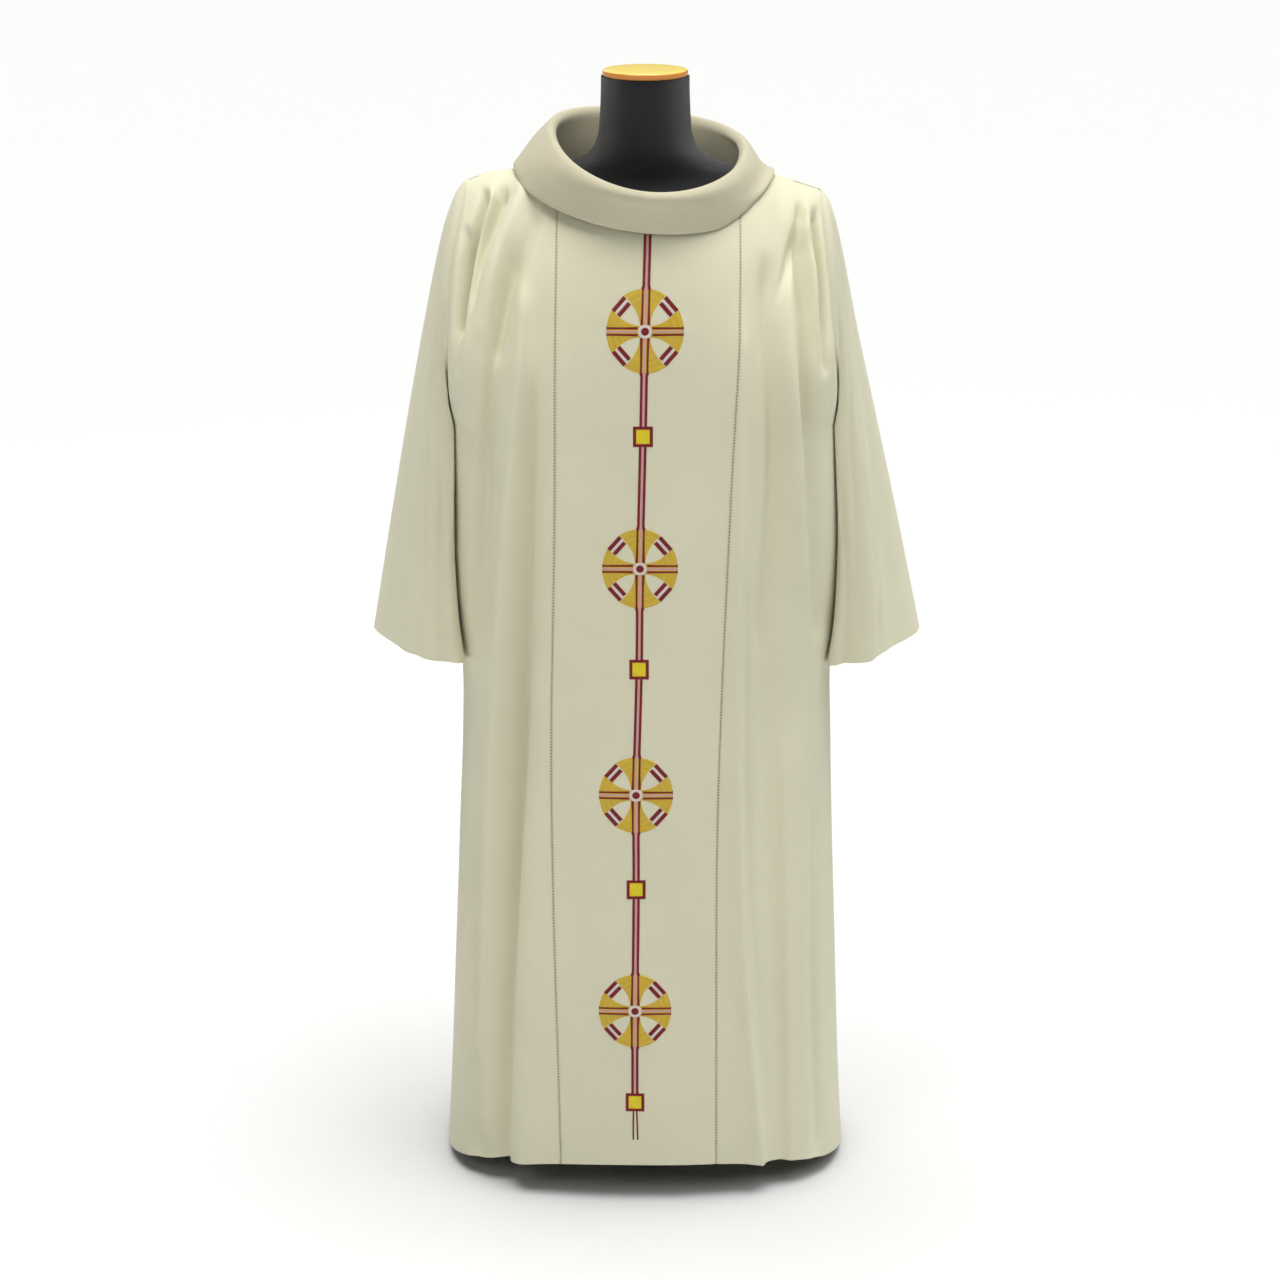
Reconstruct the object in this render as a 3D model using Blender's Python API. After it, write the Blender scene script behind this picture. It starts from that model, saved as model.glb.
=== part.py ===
"""A dalmatic on a limbless dress form.

Metres, +Z up. The garment faces -Y, so the wearer's left is +X. The origin is on the floor,
under the pole of the dress form.

The body of the garment is one surface, worked out from sizes, and the panels are cut from it.
A point of that surface has a column (COLUMNS of them, from the wearer's right side seam, 0,
over the front or the back to the left side seam) and a height v (0 hem, 1 underarm, 2 top edge).
"""

from collections import namedtuple

import bpy
import numpy as np

# ---- Driving dimensions ------------------------------------------------------------------

CLOTH_WALL = 0.002
COLLAR_WALL = 0.0025
SEAM_GAP = 0.0003
SLEEVE_GAP = 0.0005  # between the armhole's edge and the sleeve's

UNDERARM_Z = 1.08
NECK_HALF_WIDTH = 0.138  # at the neck points, where the shoulder seams start
NECK_POINT_Z = 1.4085
# How the yoke rounds over from the chest or the back to the shoulder ridge: how full it is at the
# centre and at the shoulder, how much higher its top would lie in the middle of the neck's
# opening, and how deep that opening is cut.
Yoke = namedtuple("Yoke", "centre_fullness shoulder_fullness neck_rise neck_depth")
YOKE = {"front": Yoke(3.4, 1.6, 0.010, 0.118), "back": Yoke(2.8, 2.6, 0.045, 0.072)}
SHOULDER_X = 0.20  # where the yoke has its full shoulder fullness
ARMHOLE_REACH = 0.098  # how far the armhole's edge bulges to the front and to the back
ARMHOLE_RISE = 0.12  # height over which it reaches that
ARMHOLE_EASE = 1.0  # how gently it starts to bulge at the underarm
HEM_Z = {"front": 0.050, "side": 0.013, "back": 0.030}
HEM_ROUND = 0.8  # how evenly the hem drops from the middle to the sides

# The body's cross-section at each height: half widths to the wearer's right (-X) and left (+X),
# depths to the front and the back, and how square the corners are (2 is an ellipse).
Level = namedtuple("Level", "z right left front back square")
LEVELS = (
    Level(0.000, 0.2840, 0.2850, 0.196, 0.192, 2.30),
    Level(0.135, 0.2760, 0.2770, 0.194, 0.187, 2.30),
    Level(0.322, 0.2670, 0.2690, 0.190, 0.178, 2.32),
    Level(0.505, 0.2580, 0.2610, 0.186, 0.170, 2.35),
    Level(0.639, 0.2515, 0.2565, 0.184, 0.163, 2.40),
    Level(0.735, 0.2505, 0.2545, 0.183, 0.158, 2.50),
    Level(0.800, 0.2560, 0.2610, 0.182, 0.155, 2.60),
    Level(0.870, 0.2605, 0.2650, 0.181, 0.151, 2.70),
    Level(0.950, 0.2615, 0.2650, 0.180, 0.147, 2.80),
    Level(1.080, 0.2600, 0.2570, 0.178, 0.140, 2.85),
    Level(1.220, 0.2560, 0.2450, 0.179, 0.134, 2.75),
    Level(1.310, 0.2500, 0.2375, 0.181, 0.131, 2.60),
    Level(1.400, 0.2320, 0.2280, 0.183, 0.128, 2.50),
)

# Height of the shoulder ridge at each distance from the neck.
Ridge = namedtuple("Ridge", "x z")
RIDGE = {
    "right": (
        Ridge(0.138, 1.4085),
        Ridge(0.166, 1.4045),
        Ridge(0.205, 1.3990),
        Ridge(0.230, 1.3905),
    ),
    "left": (
        Ridge(0.138, 1.4085),
        Ridge(0.170, 1.3965),
        Ridge(0.205, 1.3850),
        Ridge(0.230, 1.3765),
    ),
}

# Lines that run from hem to neck on the front and the back. The seams bound the centre panel.
# The neck lines are no seams: each ends at a neck point.
Line = namedtuple("Line", "z seam_right seam_left neck")
LINES = (
    Line(0.05, -0.117, 0.099, 0.170),
    Line(0.59, -0.1245, 0.0975, 0.160),
    Line(1.00, -0.117, 0.110, 0.150),
    Line(1.26, -0.115, 0.121, 0.142),
    Line(1.41, -0.1125, 0.121, 0.138),
)
Strip = namedtuple("Strip", "side_to_neck_line neck_line_to_seam centre")
STRIP = Strip(10, 4, 9)
COLUMN_AT = np.cumsum((0, STRIP[0], STRIP[1], STRIP[2], STRIP[1], STRIP[0]))
COLUMNS = int(COLUMN_AT[-1])
ARMHOLE_COLUMN = {"right": 0.0, "left": float(COLUMNS)}
NECK_CROWDING = 1.7  # how much closer the columns lie at a neck point than at a seam
SKIRT_ROWS, YOKE_ROWS = 14, 12
YOKE_CROWDING = 1.6  # how much closer the yoke's rows lie at the shoulder

# ---- Folds -------------------------------------------------------------------------------
# A fold follows three points, low, middle and high. At each it has a depth (under 0 a trough,
# over 0 a ridge) and its two half widths, towards -X and towards +X. It fades out past its
# ends over the run-out. Metres.

Fold = namedtuple(
    "Fold",
    "low_x low_z mid_x mid_z high_x high_z low_depth mid_depth high_depth minus plus run_out",
)
FOLDS = {
    "front": (
        # The long trough on the wearer's right, between two ridges, and the gathers above it.
        Fold(-0.198, 0.05, -0.165, 0.68, -0.135, 1.20, -0.021, -0.013, -0.004, 0.026, 0.016, 0.10),
        Fold(-0.165, 0.05, -0.140, 0.60, -0.123, 1.17, 0.008, 0.005, 0.002, 0.018, 0.022, 0.10),
        Fold(-0.226, 0.10, -0.190, 0.80, -0.155, 1.25, 0.007, 0.008, 0.004, 0.017, 0.016, 0.06),
        Fold(-0.222, 0.70, -0.208, 1.11, -0.172, 1.30, -0.006, -0.009, -0.004, 0.020, 0.017, 0.08),
        Fold(-0.228, 1.27, -0.211, 1.33, -0.182, 1.38, -0.003, -0.006, -0.004, 0.011, 0.011, 0.03),
        # The ridge beside the seam on the wearer's left, the wide trough, and the short gathers.
        Fold(0.163, 0.05, 0.124, 0.62, 0.127, 1.19, 0.011, 0.007, 0.003, 0.020, 0.012, 0.08),
        Fold(0.195, 0.05, 0.160, 0.75, 0.155, 1.26, -0.014, -0.010, -0.004, 0.018, 0.034, 0.07),
        Fold(0.236, 0.05, 0.222, 0.42, 0.205, 0.75, 0.006, 0.004, 0.001, 0.020, 0.020, 0.10),
        Fold(0.211, 0.92, 0.197, 1.05, 0.178, 1.22, 0.003, 0.006, 0.003, 0.015, 0.013, 0.07),
        Fold(0.199, 1.25, 0.190, 1.31, 0.172, 1.36, -0.003, -0.006, -0.003, 0.011, 0.010, 0.03),
    ),
    "back": (
        Fold(-0.176, 0.05, -0.150, 0.60, -0.120, 1.22, -0.020, -0.012, -0.003, 0.026, 0.022, 0.10),
        Fold(-0.122, 0.05, -0.108, 0.62, -0.095, 1.15, 0.010, 0.006, 0.002, 0.024, 0.022, 0.10),
        Fold(-0.052, 0.05, -0.045, 0.50, -0.040, 1.00, -0.013, -0.007, -0.002, 0.026, 0.030, 0.12),
        Fold(0.028, 0.05, 0.020, 0.55, 0.018, 1.10, 0.009, 0.005, 0.002, 0.026, 0.024, 0.12),
        Fold(0.092, 0.05, 0.080, 0.58, 0.070, 1.14, -0.016, -0.009, -0.003, 0.022, 0.026, 0.10),
        Fold(0.148, 0.05, 0.130, 0.60, 0.112, 1.20, 0.010, 0.006, 0.002, 0.020, 0.024, 0.10),
        Fold(0.206, 0.05, 0.180, 0.66, 0.158, 1.22, -0.017, -0.010, -0.003, 0.024, 0.020, 0.10),
        Fold(-0.205, 1.20, -0.190, 1.29, -0.165, 1.36, -0.004, -0.006, -0.003, 0.013, 0.013, 0.04),
        Fold(0.203, 1.18, 0.188, 1.28, 0.162, 1.36, -0.004, -0.006, -0.003, 0.013, 0.013, 0.04),
    ),
}
SIDE_FADE = 0.35  # angle from a side seam over which the folds fade out
TOP_FADE = 0.16  # height, in v, below the top edge over which they fade out


def through(knots, values, at):
    """A smooth curve through the values at the knots, with straight ends."""
    knots, values = np.asarray(knots, float), np.asarray(values, float)
    chord = np.diff(values) / np.diff(knots)
    slope = np.concatenate([chord[:1], (chord[:-1] + chord[1:]) / 2, chord[-1:]])
    at = np.clip(at, knots[0], knots[-1])
    i = np.clip(np.searchsorted(knots, at, side="right") - 1, 0, len(knots) - 2)
    width = knots[i + 1] - knots[i]
    t = (at - knots[i]) / width
    return (
        values[i] * (1 + 2 * t) * (1 - t) ** 2
        + width * slope[i] * t * (1 - t) ** 2
        + values[i + 1] * t**2 * (3 - 2 * t)
        + width * slope[i + 1] * t**2 * (t - 1)
    )


def column_of(table, name, at, key="z"):
    """One named column of a table, read at the given heights or places."""
    return through([getattr(row, key) for row in table], [getattr(row, name) for row in table], at)


def step(t):
    t = np.clip(t, 0, 1)
    return t * t * (3 - 2 * t)


NEAR = 1e-3  # the step of a difference along a surface, in its own columns, shares or angles
EDGE_STEP = 0.01  # the same, where a panel's edge is moved back for its seam gap
HEIGHT_ROUNDS = 4

# ---- The body's surface ------------------------------------------------------------------


def half_width(z, x):
    return np.where(x < 0, column_of(LEVELS, "right", z), column_of(LEVELS, "left", z))


def angle_at(x, z):
    """The angle round the section, from -pi/2 to pi/2, at which the section has this x."""
    share = np.clip(np.abs(x) / half_width(z, x), 0, 1)
    return np.sign(x) * np.arcsin(share ** (column_of(LEVELS, "square", z) / 2))


def angle_of(column, z):
    """The angle of a column at a height. Columns are evenly spread between the lines."""
    neck = column_of(LINES, "neck", z)
    knots = (
        np.full_like(z, -np.pi / 2),
        angle_at(-neck, z),
        angle_at(column_of(LINES, "seam_right", z), z),
        angle_at(column_of(LINES, "seam_left", z), z),
        angle_at(neck, z),
        np.full_like(z, np.pi / 2),
    )
    angle = knots[0]
    for k in range(5):
        share = np.clip((column - COLUMN_AT[k]) / (COLUMN_AT[k + 1] - COLUMN_AT[k]), 0, 1)
        if k == 1:
            share = share**NECK_CROWDING
        if k == 3:
            share = 1 - (1 - share) ** NECK_CROWDING
        angle = angle + share * (knots[k + 1] - knots[k])
    return angle


def section_x(angle, z):
    return np.sign(angle) * half_width(z, angle) * np.abs(np.sin(angle)) ** (
        2 / column_of(LEVELS, "square", z)
    )


def ridge_z(x, side):
    """Height of the shoulder ridge. Across the neck it is where the yoke would close."""
    ridge = np.where(
        x < 0,
        column_of(RIDGE["right"], "z", np.abs(x), "x"),
        column_of(RIDGE["left"], "z", np.abs(x), "x"),
    )
    return ridge + YOKE[side].neck_rise * step(1 - np.abs(x) / NECK_HALF_WIDTH)


def fullness(x, side):
    yoke = YOKE[side]
    shoulder_share = step(np.abs(x) / SHOULDER_X)
    return yoke.centre_fullness + (yoke.shoulder_fullness - yoke.centre_fullness) * shoulder_share


def section_y(x, z, side):
    """Depth of the body at a place seen from the front."""
    angle = angle_at(x, z)
    open_share = np.clip((z - UNDERARM_Z) / ARMHOLE_RISE, 0, 1)
    armhole = ARMHOLE_REACH * np.sin(np.pi / 2 * open_share) ** ARMHOLE_EASE
    round_off = np.abs(np.cos(angle)) ** (2 / column_of(LEVELS, "square", z))
    flat_y = armhole + (column_of(LEVELS, side, z) - armhole) * round_off
    rise = np.clip((z - UNDERARM_Z) / (ridge_z(x, side) - UNDERARM_Z), 0, 1)
    return flat_y, flat_y * np.sqrt(1 - rise ** fullness(x, side))


def panel_height(x, y, side):
    """Height of the yoke at a place seen from above: section_y, solved for z in a few rounds."""
    z = np.full_like(x, NECK_POINT_Z)
    for _ in range(HEIGHT_ROUNDS):
        flat_y, _ = section_y(x, z, side)
        share = np.clip(np.abs(y) / flat_y, 0, 0.999)
        rise = (1 - share**2) ** (1 / fullness(x, side))
        z = UNDERARM_Z + (ridge_z(x, side) - UNDERARM_Z) * rise
    return z


def top_z(x, side):
    """Height of the top edge at each x: the neckline, an oval seen from above, then the ridge."""
    across = np.sqrt(1 - np.clip(np.abs(x) / NECK_HALF_WIDTH, 0, 1) ** 2)
    return panel_height(x, YOKE[side].neck_depth * across, side)


def hem_z(angle, side):
    return HEM_Z["side"] + (HEM_Z[side] - HEM_Z["side"]) * np.abs(np.cos(angle)) ** HEM_ROUND


def body_base(side, column, v):
    """The body's surface without its folds."""
    column, v = np.broadcast_arrays(np.asarray(column, float), np.asarray(v, float))
    neck_level = np.full_like(v, NECK_POINT_Z)
    highest = top_z(section_x(angle_of(column, neck_level), neck_level), side)
    lowest = hem_z(angle_of(column, np.full_like(v, HEM_Z["front"])), side)
    rise = 1 - (1 - np.clip(v - 1, 0, 1)) ** YOKE_CROWDING
    z = np.where(
        v < 1, lowest + (UNDERARM_Z - lowest) * v, UNDERARM_Z + (highest - UNDERARM_Z) * rise
    )
    x = section_x(angle_of(column, z), z)
    y = section_y(x, z, side)[1]
    return np.stack([x, -y if side == "front" else y, z], axis=-1)


def normal_of(surface, column, v, most_column, most_v=2.0):
    """The normal of a surface(column, v), by differences."""
    most_v -= NEAR / 100  # just short of the edge, where some surfaces turn square
    left, right = np.clip(column - NEAR, 0, most_column), np.clip(column + NEAR, 0, most_column)
    low, high = np.clip(v - NEAR, 0, most_v), np.clip(v + NEAR, 0, most_v)
    level = np.clip(v, 0, most_v)
    return unit(np.cross(surface(right, level) - surface(left, level),
                         surface(column, high) - surface(column, low)))


def unit(vectors):
    return vectors / np.maximum(np.linalg.norm(vectors, axis=-1, keepdims=True), 1e-12)


def fold_depth(folds, x, z):
    """The sum of all the folds' depths at each point."""
    total = np.zeros_like(x)
    for fold in folds:
        heights = (fold.low_z, fold.mid_z, fold.high_z)
        path = through(heights, (fold.low_x, fold.mid_x, fold.high_x), z)
        depth = through(heights, (fold.low_depth, fold.mid_depth, fold.high_depth), z)
        width = np.where(x < path, fold.minus, fold.plus)
        past = np.maximum(fold.low_z - z, z - fold.high_z)
        total += depth * np.exp(-(((x - path) / width) ** 2)) * (1 - step(past / fold.run_out))
    return total


def body(side, column, v):
    """The body's outer surface: the base, moved along its normal by the folds."""
    base = body_base(side, column, v)
    out = normal_of(lambda c, h: body_base(side, c, h), column, v, COLUMNS)
    if side == "back":
        out = -out
    x, z = base[..., 0], base[..., 2]
    depth = fold_depth(FOLDS[side], x, z)
    depth *= step((np.pi / 2 - np.abs(angle_at(x, z))) / SIDE_FADE) * step((2 - v) / TOP_FADE)
    return base + out * depth[..., None]


def body_normal(side, column, v):
    out = normal_of(lambda c, h: body(side, c, h), column, v, COLUMNS)
    return -out if side == "back" else out


def row_heights():
    """v of each row of the body, hem to top edge."""
    skirt = np.linspace(0, 1, SKIRT_ROWS + 1)
    yoke = np.linspace(1, 2, YOKE_ROWS + 1)
    return np.concatenate([skirt, yoke[1:]])


# ---- The sleeves' surface ----------------------------------------------------------------
# A sleeve is a fan of rings from the armhole's edge (share 0) to the cuff (share 1). Each ring
# has a point on the outer line and one on the inner line, which lies along the body.

SleeveRing = namedtuple("SleeveRing", "share outer_x outer_z inner_x inner_z depth")
SLEEVES = {
    "right": (
        SleeveRing(0.00, 0.2345, 1.3893, 0.2600, 1.080, 0.098),
        SleeveRing(0.05, 0.2472, 1.3740, 0.2622, 1.066, 0.100),
        SleeveRing(0.11, 0.2598, 1.3450, 0.2640, 1.048, 0.102),
        SleeveRing(0.22, 0.2727, 1.2980, 0.2662, 1.012, 0.106),
        SleeveRing(0.40, 0.2925, 1.2050, 0.2680, 0.950, 0.110),
        SleeveRing(0.60, 0.3180, 1.0750, 0.2680, 0.877, 0.113),
        SleeveRing(0.80, 0.3455, 0.9250, 0.2650, 0.806, 0.115),
        SleeveRing(1.00, 0.3720, 0.7740, 0.2590, 0.753, 0.116),
    ),
    "left": (
        SleeveRing(0.00, 0.2305, 1.3765, 0.2570, 1.080, 0.098),
        SleeveRing(0.05, 0.2405, 1.3640, 0.2600, 1.066, 0.100),
        SleeveRing(0.11, 0.2505, 1.3350, 0.2625, 1.048, 0.102),
        SleeveRing(0.22, 0.2625, 1.2850, 0.2660, 1.012, 0.106),
        SleeveRing(0.40, 0.2815, 1.1950, 0.2700, 0.950, 0.110),
        SleeveRing(0.60, 0.3110, 1.0680, 0.2712, 0.877, 0.113),
        SleeveRing(0.80, 0.3440, 0.9250, 0.2690, 0.806, 0.115),
        SleeveRing(1.00, 0.3770, 0.7740, 0.2620, 0.749, 0.116),
    ),
}
# The cuff's outline, half of it: how far across from the inner to the outer line, and how deep.
CuffPoint = namedtuple("CuffPoint", "share across depth")
CUFF = (
    CuffPoint(0.00, 0.000, 0.00),
    CuffPoint(0.15, 0.000, 0.36),
    CuffPoint(0.27, 0.010, 0.62),
    CuffPoint(0.35, 0.030, 0.77),
    CuffPoint(0.43, 0.090, 0.86),
    CuffPoint(0.60, 0.330, 0.80),
    CuffPoint(0.78, 0.680, 0.49),
    CuffPoint(0.91, 0.930, 0.175),
    CuffPoint(1.00, 1.000, 0.00),
)
# A sleeve fold runs from one ring to another: how far across it starts and ends, from the
# inner line, 0, to the outer line, 1, its depth in metres and its half width, across.
SleeveFold = namedtuple("SleeveFold", "side start end across_start across_end depth width")
SLEEVE_FOLDS = {
    "right": (
        SleeveFold("front", 0.30, 1.00, 0.62, 0.42, 0.004, 0.22),
        SleeveFold("front", 0.15, 0.90, 0.25, 0.15, -0.003, 0.14),
        SleeveFold("back", 0.30, 1.00, 0.60, 0.50, -0.006, 0.20),
    ),
    "left": (
        SleeveFold("front", 0.22, 1.00, 0.45, 0.14, -0.007, 0.11),
        SleeveFold("front", 0.22, 1.00, 0.68, 0.40, 0.006, 0.14),
        SleeveFold("front", 0.30, 1.00, 0.90, 0.66, -0.004, 0.12),
        SleeveFold("back", 0.30, 1.00, 0.55, 0.45, -0.006, 0.20),
    ),
}
SLEEVE_FADE = 0.15  # share of the length over which a fold fades out
INNER_CLEAR, INNER_FADE, OUTER_FADE = 0.36, 0.10, 0.12  # of w: no folds up to the first
CUFF_TURN = 0.45  # share of the length in which the armhole's outline becomes the cuff's
# The sleeve's front and back lean in against the body: how far below the armhole and at the cuff,
# and where round the half ring.
TUCK, CUFF_TUCK, TUCK_AT, TUCK_WIDTH = 0.012, 0.0195, 0.34, 0.15
# Near the armhole the inner wall lies along the body: how clear of it, up to which w, how far it
# leaves it after that, and over which shares of the length.
BODY_CLEAR = 0.0028
HELD_ACROSS, HELD_FADE, HELD_START, HELD_END = 0.38, 0.14, 0.10, 0.28
RINGS, RING_CROWDING = 11, 1.25


def side_x(name, side, y, z):
    """How far out the body's plain section stands at a depth: the superellipse turned round."""
    open_share = np.clip((z - UNDERARM_Z) / ARMHOLE_RISE, 0, 1)
    armhole = ARMHOLE_REACH * np.sin(np.pi / 2 * open_share) ** ARMHOLE_EASE
    square = column_of(LEVELS, "square", z)
    inward = np.clip((np.abs(y) - armhole) / (column_of(LEVELS, side, z) - armhole), 0, 1)
    return column_of(LEVELS, name, z) * (1 - inward**square) ** (1 / square)


def sleeve_base(name, side, share, w):
    """One half of a sleeve. w goes from the inner line, 0, to the outer line, 1."""
    share, w = np.broadcast_arrays(np.asarray(share, float), np.asarray(w, float))
    rows = SLEEVES[name]
    sign = -1 if name == "right" else 1
    level = np.zeros_like(w)
    outer_x, outer_z, inner_x, inner_z = (
        column_of(rows, key, share, "share") for key in ("outer_x", "outer_z", "inner_x", "inner_z")
    )
    outer = np.stack([sign * outer_x, level, outer_z], axis=-1)
    inner = np.stack([sign * inner_x, level, inner_z], axis=-1)
    edge = body_base(side, ARMHOLE_COLUMN[name], 1 + w)
    first = rows[0]
    edge_across = np.clip((edge[..., 2] - UNDERARM_Z) / (first.outer_z - UNDERARM_Z), 0, 1)
    turn = step(share / CUFF_TURN)
    across = (1 - turn) * edge_across + turn * column_of(CUFF, "across", w, "share")
    cuff_depth = column_of(CUFF, "depth", w, "share") * column_of(rows, "depth", share, "share")
    depth = (1 - turn) * np.abs(edge[..., 1]) + turn * cuff_depth
    point = inner + (outer - inner) * across[..., None]
    # At the armhole the ring is the body's own edge.
    line_x = sign * (first.inner_x + (first.outer_x - first.inner_x) * edge_across)
    point[..., 0] += (edge[..., 0] - line_x) * (1 - turn)
    tuck = (TUCK + (CUFF_TUCK - TUCK) * share) * turn
    tuck *= np.exp(-(((w - TUCK_AT) / TUCK_WIDTH) ** 2)) * step(w / TUCK_WIDTH)
    wall = side_x(name, side, depth, point[..., 2]) + BODY_CLEAR
    out = sign * point[..., 0] - tuck
    near = (1 - step((w - HELD_ACROSS) / HELD_FADE)) * step(share / HELD_START)
    held = np.where(out > wall, 1 - step((share - HELD_END) / HELD_END), 1)
    point[..., 0] = sign * (out + (wall - out) * near * held)
    point[..., 1] = -depth if side == "front" else depth
    return point


def sleeve(name, side, share, w):
    """One half of a sleeve with its folds, set just clear of the armhole's edge."""
    share, w = np.broadcast_arrays(np.asarray(share, float), np.asarray(w, float))
    base = sleeve_base(name, side, share, w)
    out = normal_of(lambda a, b: sleeve_base(name, side, a, b), share, w, 1.0, 1.0)
    if (name == "left") != (side == "front"):
        out = -out
    across = column_of(CUFF, "across", w, "share")
    depth = np.zeros_like(w)
    for fold in SLEEVE_FOLDS[name]:
        if fold.side != side:
            continue
        along = np.clip((share - fold.start) / (fold.end - fold.start), 0, 1)
        path = fold.across_start + (fold.across_end - fold.across_start) * along
        fade = step((share - fold.start) / SLEEVE_FADE)
        depth += fold.depth * fade * np.exp(-(((across - path) / fold.width) ** 2))
    depth *= step((1 - w) / OUTER_FADE) * step((w - INNER_CLEAR) / INNER_FADE)
    gap = SLEEVE_GAP if name == "left" else -SLEEVE_GAP
    return base + out * depth[..., None] + np.array([gap, 0, 0])


def sleeve_normal(name, side, share, w):
    out = normal_of(lambda a, b: sleeve(name, side, a, b), share, w, 1.0, 1.0)
    flip = (name == "left") == (side == "front")
    return out if flip else -out


# ---- The collar --------------------------------------------------------------------------
# Round the neck, three loops: the foot on the neckline, the rolled rim and the free edge.
# Each loop is given where it crosses the front, the wearer's left, the back and the right.

Loop = namedtuple("Loop", "front left back right")
RIM_REACH = Loop(0.163, 0.131, 0.092, 0.124)
RIM_Z = Loop(1.4000, 1.433, 1.468, 1.4595)
FREE_REACH = Loop(0.1455, 0.169, 0.120, 0.172)
FREE_Z = Loop(1.342, 1.372, 1.402, 1.404)
ROLL_RADIUS = 0.007
FALL_CLEARANCE = 0.0060  # between the yoke and the middle of the collar's cloth
FOOT_INSET, FOOT_RISE = 0.0010, 0.0006  # of the foot, from the neckline
# The stations of the collar's profile between the three loops: the share of the way from the
# first loop to the second, and the moves outwards and upwards from there, in metres.
Station = namedtuple("Station", "share out up")
STAND = (Station(0.0, 0.0, 0.0), Station(0.25, -0.003, 0.0), Station(0.70, -0.006, 0.0),
         Station(1.0, -ROLL_RADIUS, -0.9 * ROLL_RADIUS), Station(1.0, 0.0, 0.0))
FALL = (Station(0.0, ROLL_RADIUS, -0.8 * ROLL_RADIUS), Station(0.45, 0.005, 0.0),
        Station(1.0, 0.0, 0.0))
PROFILE_STEPS = 13


def round_loop(loop, turn):
    """A value round the neck. turn is 0 at the front, pi/2 at the wearer's left."""
    mean = (loop.front + loop.left + loop.back + loop.right) / 4
    across = (loop.front + loop.back - loop.left - loop.right) / 4
    return (
        mean
        + (loop.front - loop.back) / 2 * np.cos(turn)
        + (loop.left - loop.right) / 2 * np.sin(turn)
        + across * np.cos(2 * turn)
    )


def reach_point(loop, turn):
    """x and y of a loop given by its reaches: an oval with a different radius at each side."""
    x = np.sin(turn) * np.where(np.sin(turn) > 0, loop.left, loop.right)
    y = -np.cos(turn) * np.where(np.cos(turn) > 0, loop.front, loop.back)
    return x, y


def collar_line(turn, along):
    """Middle of the collar's cloth: along is 0 at the foot and 1 at the free edge."""
    foot_x = NECK_HALF_WIDTH * np.sin(turn)
    in_front = np.cos(turn) > 0
    foot_y = -np.cos(turn) * np.where(in_front, YOKE["front"].neck_depth, YOKE["back"].neck_depth)
    foot_z = np.where(in_front, top_z(foot_x, "front"), top_z(foot_x, "back"))
    rim_x, rim_y = reach_point(RIM_REACH, turn)
    rim_z = round_loop(RIM_Z, turn)
    free_x, free_y = reach_point(FREE_REACH, turn)
    free_z = round_loop(FREE_Z, turn)
    out = np.stack([np.sin(turn), -np.cos(turn), np.zeros_like(turn)], axis=-1)
    up = np.array([0.0, 0.0, 1.0])
    foot = np.stack([foot_x, foot_y, foot_z], axis=-1) - FOOT_INSET * out + FOOT_RISE * up
    rim = np.stack([rim_x, rim_y, rim_z], axis=-1)
    free = np.stack([free_x, free_y, free_z], axis=-1)
    stations = np.stack(
        [foot + at.share * (rim - foot) + at.out * out + at.up * up for at in STAND]
        + [rim + at.share * (free - rim) + at.out * out + at.up * up for at in FALL]
    )
    for station in stations[len(STAND):]:
        x, y = station[..., 0], station[..., 1]
        panel_z = np.where(y < 0, panel_height(x, y, "front"), panel_height(x, y, "back"))
        station[..., 2] = np.maximum(station[..., 2], panel_z + FALL_CLEARANCE)
    lengths = np.linalg.norm(np.diff(stations, axis=0), axis=-1)
    lengths = lengths.reshape(len(lengths), -1).mean(axis=1)
    marks = np.concatenate([[0], np.cumsum(lengths)]) / lengths.sum()
    return smooth_path(marks, stations, along)


def smooth_path(marks, stations, along):
    """The point at share along of a smooth path through the stations, for whole arrays."""
    chord = np.diff(stations, axis=0) / np.diff(marks).reshape((-1,) + (1,) * (stations.ndim - 1))
    slope = np.concatenate([chord[:1], (chord[:-1] + chord[1:]) / 2, chord[-1:]])
    i = np.clip(np.searchsorted(marks, along, side="right") - 1, 0, len(marks) - 2)
    width = (marks[i + 1] - marks[i])[..., None]
    t = ((along - marks[i]) / (marks[i + 1] - marks[i]))[..., None]
    place = np.indices(along.shape)
    first, second = stations[(i, *place)], stations[(i + 1, *place)]
    return (
        first * (1 + 2 * t) * (1 - t) ** 2
        + width * slope[(i, *place)] * t * (1 - t) ** 2
        + second * t**2 * (3 - 2 * t)
        + width * slope[(i + 1, *place)] * t**2 * (t - 1)
    )


# ---- The dress form ----------------------------------------------------------------------

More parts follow.
